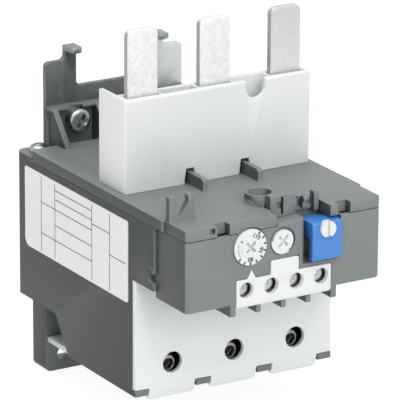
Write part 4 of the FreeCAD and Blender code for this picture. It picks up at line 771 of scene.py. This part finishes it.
def coil(wire: float, turns: float, room: Block) -> Mesh:
    """Helical spring along Y.

    Args:
        wire: Diameter of the wire.
        turns: Number of turns.
        room: Box that the spring fills.

    Returns:
        The mesh, in metres.
    """
    mesh = bmesh.new()
    radius = (room.high.x - room.low.x - wire) / 2
    length = room.high.y - room.low.y - wire
    steps = int(turns * COIL_STEPS)
    x, _, z = room.middle
    rings = []
    for step in range(steps + 1):
        share = step / steps
        angle = 2 * math.pi * turns * share
        outward = Vector((math.cos(angle), 0, math.sin(angle)))
        middle = Vector((x, room.low.y + wire / 2 + length * share, z)) + outward * radius
        ring = []
        for side in range(WIRE_SIDES):
            around = 2 * math.pi * side / WIRE_SIDES
            offset = outward * math.cos(around) + Vector((0, 1, 0)) * math.sin(around)
            ring.append(mesh.verts.new((middle + offset * wire / 2) * MM))
        rings.append(ring)
    for lower, upper in zip(rings, rings[1:]):
        for side in range(WIRE_SIDES):
            after = (side + 1) % WIRE_SIDES
            mesh.faces.new((lower[side], lower[after], upper[after], upper[side]))
    mesh.faces.new(rings[0])
    mesh.faces.new(list(reversed(rings[-1])))
    return mesh


def face_turn(place: Point, degrees: float) -> Matrix:
    """Carry a flat drawing onto a wall that faces the front.

    Args:
        place: Where the drawing's origin goes.
        degrees: Clockwise turn of the drawing, as seen from the front.

    Returns:
        The matrix, in millimetres; the drawing's Z then points to the front.
    """
    upright = Matrix.Rotation(math.radians(90), 4, "X")
    return Matrix.Translation(place) @ upright @ Matrix.Rotation(math.radians(-degrees), 4, "Z")


@dataclass(frozen=True)
class CrossScrew:
    """Pan-head screw with a tapered cross recess, lying along Y with its head to the front."""

    head_r: float
    head_height: float
    shank_r: float
    recess: float
    slot_width: float
    depth: float
    degrees: float
    dome_share: float
    tip_chamfer: float = 0.3
    foot_share: Span = (0.5, 0.7)

    def mesh(self, place: Point, rear: float) -> Mesh:
        """Build the screw.

        Args:
            place: Top of its head.
            rear: End of its shank along Y.

        Returns:
            The mesh, in metres.
        """
        length = rear - place[1]
        arc = [(math.sin(math.radians(a)), 1 - math.cos(math.radians(a))) for a in ARC_DEGREES]
        profile = [(self.head_r * across, self.head_height * self.dome_share * down) for across, down in arc]
        profile += [(self.head_r, self.head_height), (self.shank_r, self.head_height),
                    (self.shank_r, length - self.tip_chamfer), (self.shank_r - self.tip_chamfer, length),
                    (0.0, length)]
        screw = lathe(profile, place, Axis.Y)
        foot = (self.recess * self.foot_share[0], self.slot_width * self.foot_share[1])
        for quarter in (0.0, 90.0):
            turn = face_turn(place, self.degrees + quarter)
            screw = carved(screw, frustum((self.recess, self.slot_width), foot, self.depth, turn))
        return screw


def joined(meshes: list[Mesh]) -> Mesh:
    """Put several meshes into one.

    Args:
        meshes: The meshes, which are freed.

    Returns:
        One mesh with all their faces.
    """
    whole = bmesh.new()
    for mesh in meshes:
        data = bpy.data.meshes.new("loose")
        mesh.to_mesh(data)
        mesh.free()
        whole.from_mesh(data)
        bpy.data.meshes.remove(data)
    return whole


def numeral(digits: str, height: float, turn: Matrix, thickness: float) -> Mesh:
    """Solid plain digits, from Blender's own typeface.

    Args:
        digits: The digits to draw.
        height: Height of a digit.
        turn: Place and rotation in millimetres.
        thickness: Thickness of the ink.

    Returns:
        The mesh, in metres.
    """
    # A digit is 1/1.4 of its type size high, and its strokes are swollen a little so that they show.
    size_to_height, stroke = 1.4, 0.05
    curve = bpy.data.curves.new("digits", "FONT")
    curve.body = digits
    curve.align_x = "CENTER"
    curve.align_y = "CENTER"
    curve.size = height * size_to_height
    curve.extrude = thickness / 2
    curve.offset = stroke
    holder = bpy.data.objects.new("digits", curve)
    data = bpy.data.meshes.new_from_object(holder)
    mesh = bmesh.new()
    mesh.from_mesh(data)
    bmesh.ops.transform(mesh, matrix=Matrix.Scale(MM, 4) @ turn, verts=mesh.verts)
    bpy.data.objects.remove(holder)
    bpy.data.curves.remove(curve)
    bpy.data.meshes.remove(data)
    return mesh


@dataclass
class Enclosure:
    """Grey and white mouldings that make the outside of the relay."""

    grey: tuple[str, ...] = ("deck_cover", "module_case", "latch_frame")
    white: tuple[str, ...] = ("terminal_cover", "bottom_tray")
    milky: tuple[str, ...] = ("lug_shroud", "aux_terminal_plate")
    edge_mm: float = 0.25

    def build(self) -> None:
        """Dress the mouldings."""
        for node in self.grey:
            self.soften(node, FINISH.grey_polyamide)
        for node in self.white:
            self.soften(node, FINISH.white_polyamide)
        for node in self.milky:
            self.soften(node, FINISH.shroud_polyamide)
        # The housing takes the darker copy of the grey polyamide: painted shade.
        self.soften("base_housing", FINISH.housing_polyamide_painted_shade)
        WORKSHOP.dress_node("latch_pawl", FINISH.grey_polyamide)
        WORKSHOP.dress_node("latch_spring", FINISH.spring_wire)

    def soften(self, node: str, finish: Moulded) -> None:
        """Stand a copy with rounded edges in for a CAD node.

        Args:
            node: Name of the CAD node.
            finish: Its finish.
        """
        mesh = softened(node, self.edge_mm)
        WORKSHOP.mount(f"moulded_{node}", mesh, finish, HOUSING, (node,))


@dataclass
class CurrentPaths:
    """Lugs, heaters, bimetals and lower terminals of the three poles."""

    poles: int = 3
    lug_edge: float = 0.3
    lug_edge_steps: int = 3
    thread_r: float = 3.9
    end_chamfer: float = 0.8
    key: float = 4.0
    key_depth: float = 2.6
    key_clearance: float = 0.5
    key_degrees: float = 10.0
    ring_radii: Span = (2.35, 3.2)
    ring_proud: float = 0.05
    ring_sunk: float = 0.3

    def build(self) -> None:
        """Dress the conductors of each pole."""
        for pole in range(1, self.poles + 1):
            lug = softened(f"line_lug_{pole}", self.lug_edge, self.lug_edge_steps)
            WORKSHOP.mount(f"tinned_lug_{pole}", lug, FINISH.tin_plate, HOUSING,
                           (f"line_lug_{pole}",))
            WORKSHOP.dress_node(f"terminal_bar_{pole}", FINISH.rolled_copper)
            WORKSHOP.dress_node(f"bimetal_{pole}", FINISH.bimetal_strip)
            WORKSHOP.dress_node(f"heater_{pole}", FINISH.heater_alloy)
            WORKSHOP.dress_node(f"lift_clamp_{pole}", FINISH.zinc_plate)
            screw = f"clamp_screw_{pole}"
            room = Block.around(screw)
            WORKSHOP.mount(f"socket_screw_{pole}", self.clamp_screw(room), FINISH.black_oxide, screw,
                           (screw,))
            # A near-white cone round the socket: a painted highlight.
            WORKSHOP.mount(f"painted_glint_ring_{pole}", self.painted_glint_ring(room), FINISH.bright_zinc, screw)

    def clamp_screw(self, room: Block) -> Mesh:
        """Set screw with a chamfered end and a hexagon socket.

        Args:
            room: Box of the CAD screw.

        Returns:
            The mesh, in metres.
        """
        r, length = self.thread_r, room.high.y - room.low.y
        nose = r - self.ring_radii[0]
        profile = [(0.0, 0.0), (r - nose, 0.0), (r, nose), (r, length - self.end_chamfer),
                   (r - self.end_chamfer, length), (0.0, length)]
        corner = self.key / math.sqrt(3)
        hexagon = [(corner * math.cos(math.radians(60 * step)), corner * math.sin(math.radians(60 * step)))
                   for step in range(6)]
        turn = face_turn(room.front(), self.key_degrees)
        waste = prism(hexagon, -self.key_depth, self.key_clearance, turn)
        return carved(lathe(profile, room.front(), Axis.Y), waste)

    def painted_glint_ring(self, room: Block) -> Mesh:
        """Cone round the socket, drawn near-white as a painted highlight on the screw's rim.

        Args:
            room: Box of the CAD screw.

        Returns:
            The mesh, in metres.
        """
        inner, outer = self.ring_radii
        depth = outer - inner
        profile = [(inner, self.ring_sunk), (inner, -self.ring_proud), (outer, depth - self.ring_proud),
                   (outer, depth + self.ring_sunk), (inner, self.ring_sunk)]
        return lathe(profile, room.front(), Axis.Y)


@dataclass
class TripMechanism:
    """Slides, lever and contacts inside the module, and the small terminals below it."""

    terminals: int = 4
    plastic: tuple[str, ...] = ("trip_slide", "phase_failure_slide", "trip_lever", "contact_carrier")
    screw: CrossScrew = CrossScrew(head_r=2.65, head_height=1.5, shank_r=1.7, recess=1.8, slot_width=0.4,
                                   depth=1.1, degrees=20.0, dome_share=0.6)
    head_seat: float = 2.0

    def build(self) -> None:
        """Dress the inner pieces."""
        for node in self.plastic:
            WORKSHOP.dress_node(node, FINISH.inner_polyester)
        WORKSHOP.dress_node("trip_pin", FINISH.zinc_plate)
        WORKSHOP.dress_node("compensation_strip", FINISH.bimetal_strip)
        WORKSHOP.dress_node("break_contact_bridge", FINISH.contact_brass)
        WORKSHOP.dress_node("make_contact_bridge", FINISH.contact_brass)
        for terminal in range(1, self.terminals + 1):
            WORKSHOP.dress_node(f"aux_strip_{terminal}", FINISH.contact_brass)
            WORKSHOP.dress_node(f"aux_saddle_{terminal}", FINISH.zinc_plate)
            screw = f"aux_screw_{terminal}"
            room = Block.around(screw)
            mesh = self.screw.mesh(room.front(self.head_seat - self.screw.head_height), room.high.y)
            WORKSHOP.mount(f"terminal_screw_{terminal}", mesh, FINISH.bright_zinc, screw,
                           (screw,))


@dataclass
class Bracket:
    """Sheet bracket behind the lugs and the screws round it."""

    edge_mm: float = 0.25
    screw: CrossScrew = CrossScrew(head_r=4.4, head_height=3.2, shank_r=2.2, recess=3.0, slot_width=0.75,
                                   depth=2.2, degrees=35.0, dome_share=0.4)
    rim_head_r: float = 3.6
    rim_head_height: float = 3.1
    rim_dome_share: float = 0.6
    rim_shank_r: float = 1.6
    rim_slot: Span = (0.5, 0.45)
    rim_slot_depth: float = 1.2

    def build(self) -> None:
        """Dress the sheet and its screws."""
        sheet = softened("fixing_bracket", self.edge_mm)
        WORKSHOP.mount("hook_sheet", sheet, FINISH.dark_sheet, HOUSING, ("fixing_bracket",))
        room = Block.around("bracket_screws")
        places = (room.low.x + self.screw.head_r, room.high.x - self.screw.head_r)
        pair = joined([self.screw.mesh((x, room.low.y, room.middle[2]), room.high.y) for x in places])
        WORKSHOP.mount("sheet_screws", pair, FINISH.zinc_plate, HOUSING, ("bracket_screws",))
        self.add_rim_screws()

    def add_rim_screws(self) -> None:
        """Two slotted screws with domed heads that stand on the rear rim."""
        room = Block.around("rim_screws")
        r, height, shank = self.rim_head_r, self.rim_head_height, self.rim_shank_r
        tip = room.low.z - room.high.z
        dome = [(r * math.cos(math.radians(a)),
                 -height * self.rim_dome_share * (1 - math.sin(math.radians(a)))) for a in ARC_DEGREES]
        profile = [(0.0, tip), (shank, tip), (shank, -height), (r, -height)] + dome[:-1] + [(0.0, 0.0)]
        pair = []
        for x in (room.low.x + r, room.high.x - r):
            centre = (x, room.middle[1], room.high.z)
            slot = frustum((r, self.rim_slot[0]), (r, self.rim_slot[1]), self.rim_slot_depth,
                           Matrix.Translation(centre))
            pair.append(carved(lathe(profile, centre, Axis.Z), slot))
        WORKSHOP.mount("rim_screw_pair", joined(pair), FINISH.zinc_plate, HOUSING,
                       ("rim_screws",))


@dataclass
class Dial:
    """Markings of the current setting dial; angles run clockwise from the top."""

    boss_rise: float = 0.3
    ink: float = 0.05
    ink_sunk: float = 0.02
    ticks: int = 9
    first_tick: float = 36.0
    tick_step: float = 24.0
    tick_half: float = 0.3
    tick_inset: Span = (1.2, 0.1)
    digit_height: float = 1.65
    digit_share: float = 0.66
    numbers: dict[str, float] = field(default_factory=lambda: {"110": 32.0, "95": 111.0, "80": 180.0})
    arrow_degrees: float = -55.0
    arrow: Outline = ((-0.5, 4.2), (0.5, 4.2), (0.0, 5.2))
    arc_dashes: int = 12
    arc_start: float = 232.0
    arc_step: float = 5.0
    arc_half: float = 0.25
    arc_radii: Span = (5.0, 5.15)

    def build(self) -> None:
        """Dress the dial and print its scale."""
        WORKSHOP.dress_node("setting_dial", FINISH.dial_acetal)
        room = Block.around("setting_dial")
        radius = (room.high.x - room.low.x) / 2
        face = room.front(self.boss_rise)
        tick = bar(self.tick_half, radius - self.tick_inset[0], radius - self.tick_inset[1])
        dash = bar(self.arc_half, *self.arc_radii)
        prints = [(tick, self.first_tick + step * self.tick_step) for step in range(self.ticks)]
        prints += [(dash, self.arc_start + step * self.arc_step) for step in range(self.arc_dashes)]
        prints.append((self.arrow, self.arrow_degrees))
        marks = [prism(outline, -self.ink_sunk, self.ink, face_turn(face, degrees))
                 for outline, degrees in prints]
        for digits, degrees in self.numbers.items():
            turn = face_turn(face, degrees) @ Matrix.Translation((0, radius * self.digit_share, 0))
            marks.append(numeral(digits, self.digit_height, turn, self.ink * 2))
        WORKSHOP.mount("dial_scale", joined(marks), FINISH.black_ink, "setting_dial")


@dataclass
class Controls:
    """Test disc, reset lever, its stud and its spring."""

    lever_edge: float = 0.3
    wire: float = 0.5
    turns: float = 6.0
    travel: float = 1.8

    def build(self) -> None:
        """Dress the controls."""
        WORKSHOP.dress_node("test_disc", FINISH.dial_acetal)
        lever = softened("reset_lever", self.lever_edge)
        WORKSHOP.mount("blue_lever", lever, FINISH.blue_acetal, "reset_lever",
                       ("reset_lever",))
        WORKSHOP.dress_node("reset_stud", FINISH.dial_acetal)
        room = Block.around("reset_spring")
        spring = WORKSHOP.mount("reset_coil", coil(self.wire, self.turns, room), FINISH.spring_wire, HOUSING,
                                ("reset_spring",))
        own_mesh(spring)


@dataclass
class SideLabel:
    """Ruled label on the left side, with nothing written on it; shares run from the rear and the top."""

    line: float = 0.3
    ink: float = 0.04
    margin: float = 1.0
    columns: tuple[float, ...] = (0.165, 0.30, 0.66, 0.83)
    rows: tuple[tuple[float, float, float], ...] = (
        (0.30, 0.66, 0.11), (0.30, 0.66, 0.225), (0.165, 0.66, 0.35), (0.30, 0.66, 0.55),
        (0.165, 0.66, 0.74), (0.66, 0.83, 0.27), (0.83, 0.98, 0.53))

    def build(self) -> None:
        """Dress the film and print its rules."""
        WORKSHOP.dress_node("side_label", FINISH.label_film)
        room = Block.around("side_label")
        x, front, rear, bottom, top = room.low.x, room.low.y, room.high.y, room.low.z, room.high.z
        rules = []
        for share in self.columns:
            y = rear + (front - rear) * share
            rules.append(self.rule(x, y, y, bottom + self.margin, top - self.margin))
        for first, last, share in self.rows:
            z = top - (top - bottom) * share
            rules.append(self.rule(x, rear + (front - rear) * last, rear + (front - rear) * first, z, z))
        WORKSHOP.mount("label_rules", joined(rules), FINISH.black_ink, HOUSING)

    def rule(self, x: float, front: float, rear: float, bottom: float, top: float) -> Mesh:
        """One printed line.

        Args:
            x: Face of the label.
            front: Front end.
            rear: Rear end.
            bottom: Lower end.
            top: Upper end.

        Returns:
            The line as a thin block, in metres.
        """
        half = self.line / 2
        outline = [(front - half, bottom - half), (rear + half, bottom - half),
                   (rear + half, top + half), (front - half, top + half)]
        turn = Matrix(((0, 0, 1, x), (1, 0, 0, 0), (0, 1, 0, 0), (0, 0, 0, 1)))
        return prism(outline, -self.ink, self.ink / 2, turn)


@dataclass(frozen=True)
class Softbox:
    """Square lamp that points at the relay."""

    name: str
    place_m: Point
    side_m: float
    watts: float

    def build(self, target_m: Vector) -> None:
        """Hang the lamp.

        Args:
            target_m: Point that it looks at.
        """
        data = bpy.data.lights.new(self.name, "AREA")
        data.size = self.side_m
        data.energy = self.watts
        lamp = linked(self.name, data)
        lamp.location = self.place_m
        lamp.rotation_euler = (target_m - Vector(self.place_m)).to_track_quat("-Z", "Y").to_euler()


@dataclass
class Studio:
    """Floor, lamps and camera."""

    camera_mm: Point = (-765.75, -1334.9, 511.7)
    azimuth: float = 31.07
    elevation: float = 18.33
    roll: float = 0.3
    lens: float = 384.8
    sensor: float = 36.0
    clip_m: Span = (0.01, 50.0)
    floor_m: float = 6.0
    floor_gap_m: float = 0.0005
    floor_colour: str = "#F2F2F2"
    floor_roughness: float = 0.9
    floor_glow: float = 1.15
    white_share: float = 0.8
    world_light: float = 0.48
    world_shown: float = 1.0
    target_m: Point = (0, -0.06, 0.0)
    lamps: tuple[Softbox, ...] = (Softbox("key_softbox", (-0.05, -1.0, 0.75), 1.0, 8.8),
                                  Softbox("top_softbox", (-0.25, -0.1, 1.0), 0.8, 4.5))

    def build(self) -> None:
        """Set the stage."""
        self.add_floor()
        self.add_camera()
        self.add_world()
        for lamp in self.lamps:
            lamp.build(Vector(self.target_m))
        bpy.context.scene.view_settings.view_transform = "Standard"

    def add_floor(self) -> None:
        """Large pale floor under the relay's foot, nearly white to the camera."""
        mesh = bmesh.new()
        bmesh.ops.create_grid(mesh, x_segments=8, y_segments=8, size=self.floor_m)
        bmesh.ops.translate(mesh, verts=mesh.verts, vec=(0, 0, CAD_BOX[0].z - self.floor_gap_m))
        data = bpy.data.meshes.new("studio_floor")
        mesh.to_mesh(data)
        mesh.free()
        floor = linked("studio_floor", data)
        material = bpy.data.materials.new("white studio paper")
        material.use_nodes = True
        tree = material.node_tree
        shader = tree.nodes["Principled BSDF"]
        shader.inputs["Base Color"].default_value = linear(self.floor_colour)
        shader.inputs["Roughness"].default_value = self.floor_roughness
        white = add_node(tree, "ShaderNodeEmission", Strength=self.floor_glow)
        white.inputs["Color"].default_value = WHITE
        # The paper's own shading stays at a fifth, so that the relay keeps a faint shadow on the white.
        share = add_node(tree, "ShaderNodeMath", {0: seen_or_mirrored(tree)}, operation="MULTIPLY")
        share.inputs[1].default_value = self.white_share
        mix = add_node(tree, "ShaderNodeMixShader", {0: share.outputs[0], 1: shader.outputs[0],
                                                     2: white.outputs[0]})
        tree.links.new(mix.outputs[0], tree.nodes["Material Output"].inputs["Surface"])
        data.materials.append(material)

    def add_camera(self) -> None:
        """Camera where the photograph was taken from."""
        turn = math.radians(self.azimuth)
        rise = math.radians(self.elevation)
        forward = Vector((math.sin(turn) * math.cos(rise), math.cos(turn) * math.cos(rise), -math.sin(rise)))
        right = Vector((math.cos(turn), -math.sin(turn), 0.0))
        upward = right.cross(forward)
        tilt = math.radians(self.roll)
        right_tilted = right * math.cos(tilt) + upward * math.sin(tilt)
        up_tilted = upward * math.cos(tilt) - right * math.sin(tilt)
        matrix = Matrix((right_tilted, up_tilted, -forward)).transposed().to_4x4()
        matrix.translation = Vector(self.camera_mm) * MM
        data = bpy.data.cameras.new("photo_camera")
        data.lens = self.lens
        data.sensor_width = self.sensor
        data.clip_start, data.clip_end = self.clip_m
        camera = linked("photo_camera", data)
        camera.matrix_world = matrix
        bpy.context.scene.camera = camera

    def add_world(self) -> None:
        """Plain level light all round, which the camera and the mirrors see as white."""
        world = bpy.data.worlds.new("studio")
        bpy.context.scene.world = world
        world.use_nodes = True
        tree = world.node_tree
        lighting = tree.nodes["Background"]
        lighting.inputs["Strength"].default_value = self.world_light
        shown = add_node(tree, "ShaderNodeBackground", Strength=self.world_shown)
        for background in (lighting, shown):
            background.inputs["Color"].default_value = WHITE
        mix = add_node(tree, "ShaderNodeMixShader", {0: seen_or_mirrored(tree), 1: lighting.outputs[0],
                                                     2: shown.outputs[0]})
        tree.links.new(mix.outputs[0], tree.nodes["World Output"].inputs["Surface"])


def main() -> None:
    """Build every sub-assembly in order, then the studio."""
    logging.basicConfig(level=logging.INFO, format="%(name)s %(message)s")
    for assembly in (Enclosure(), CurrentPaths(), TripMechanism(), Bracket(), Dial(), Controls(),
                     SideLabel()):
        LOG.info("building %s", type(assembly).__name__)
        assembly.build()
    Studio().build()


if __name__ == "__main__":
    main()
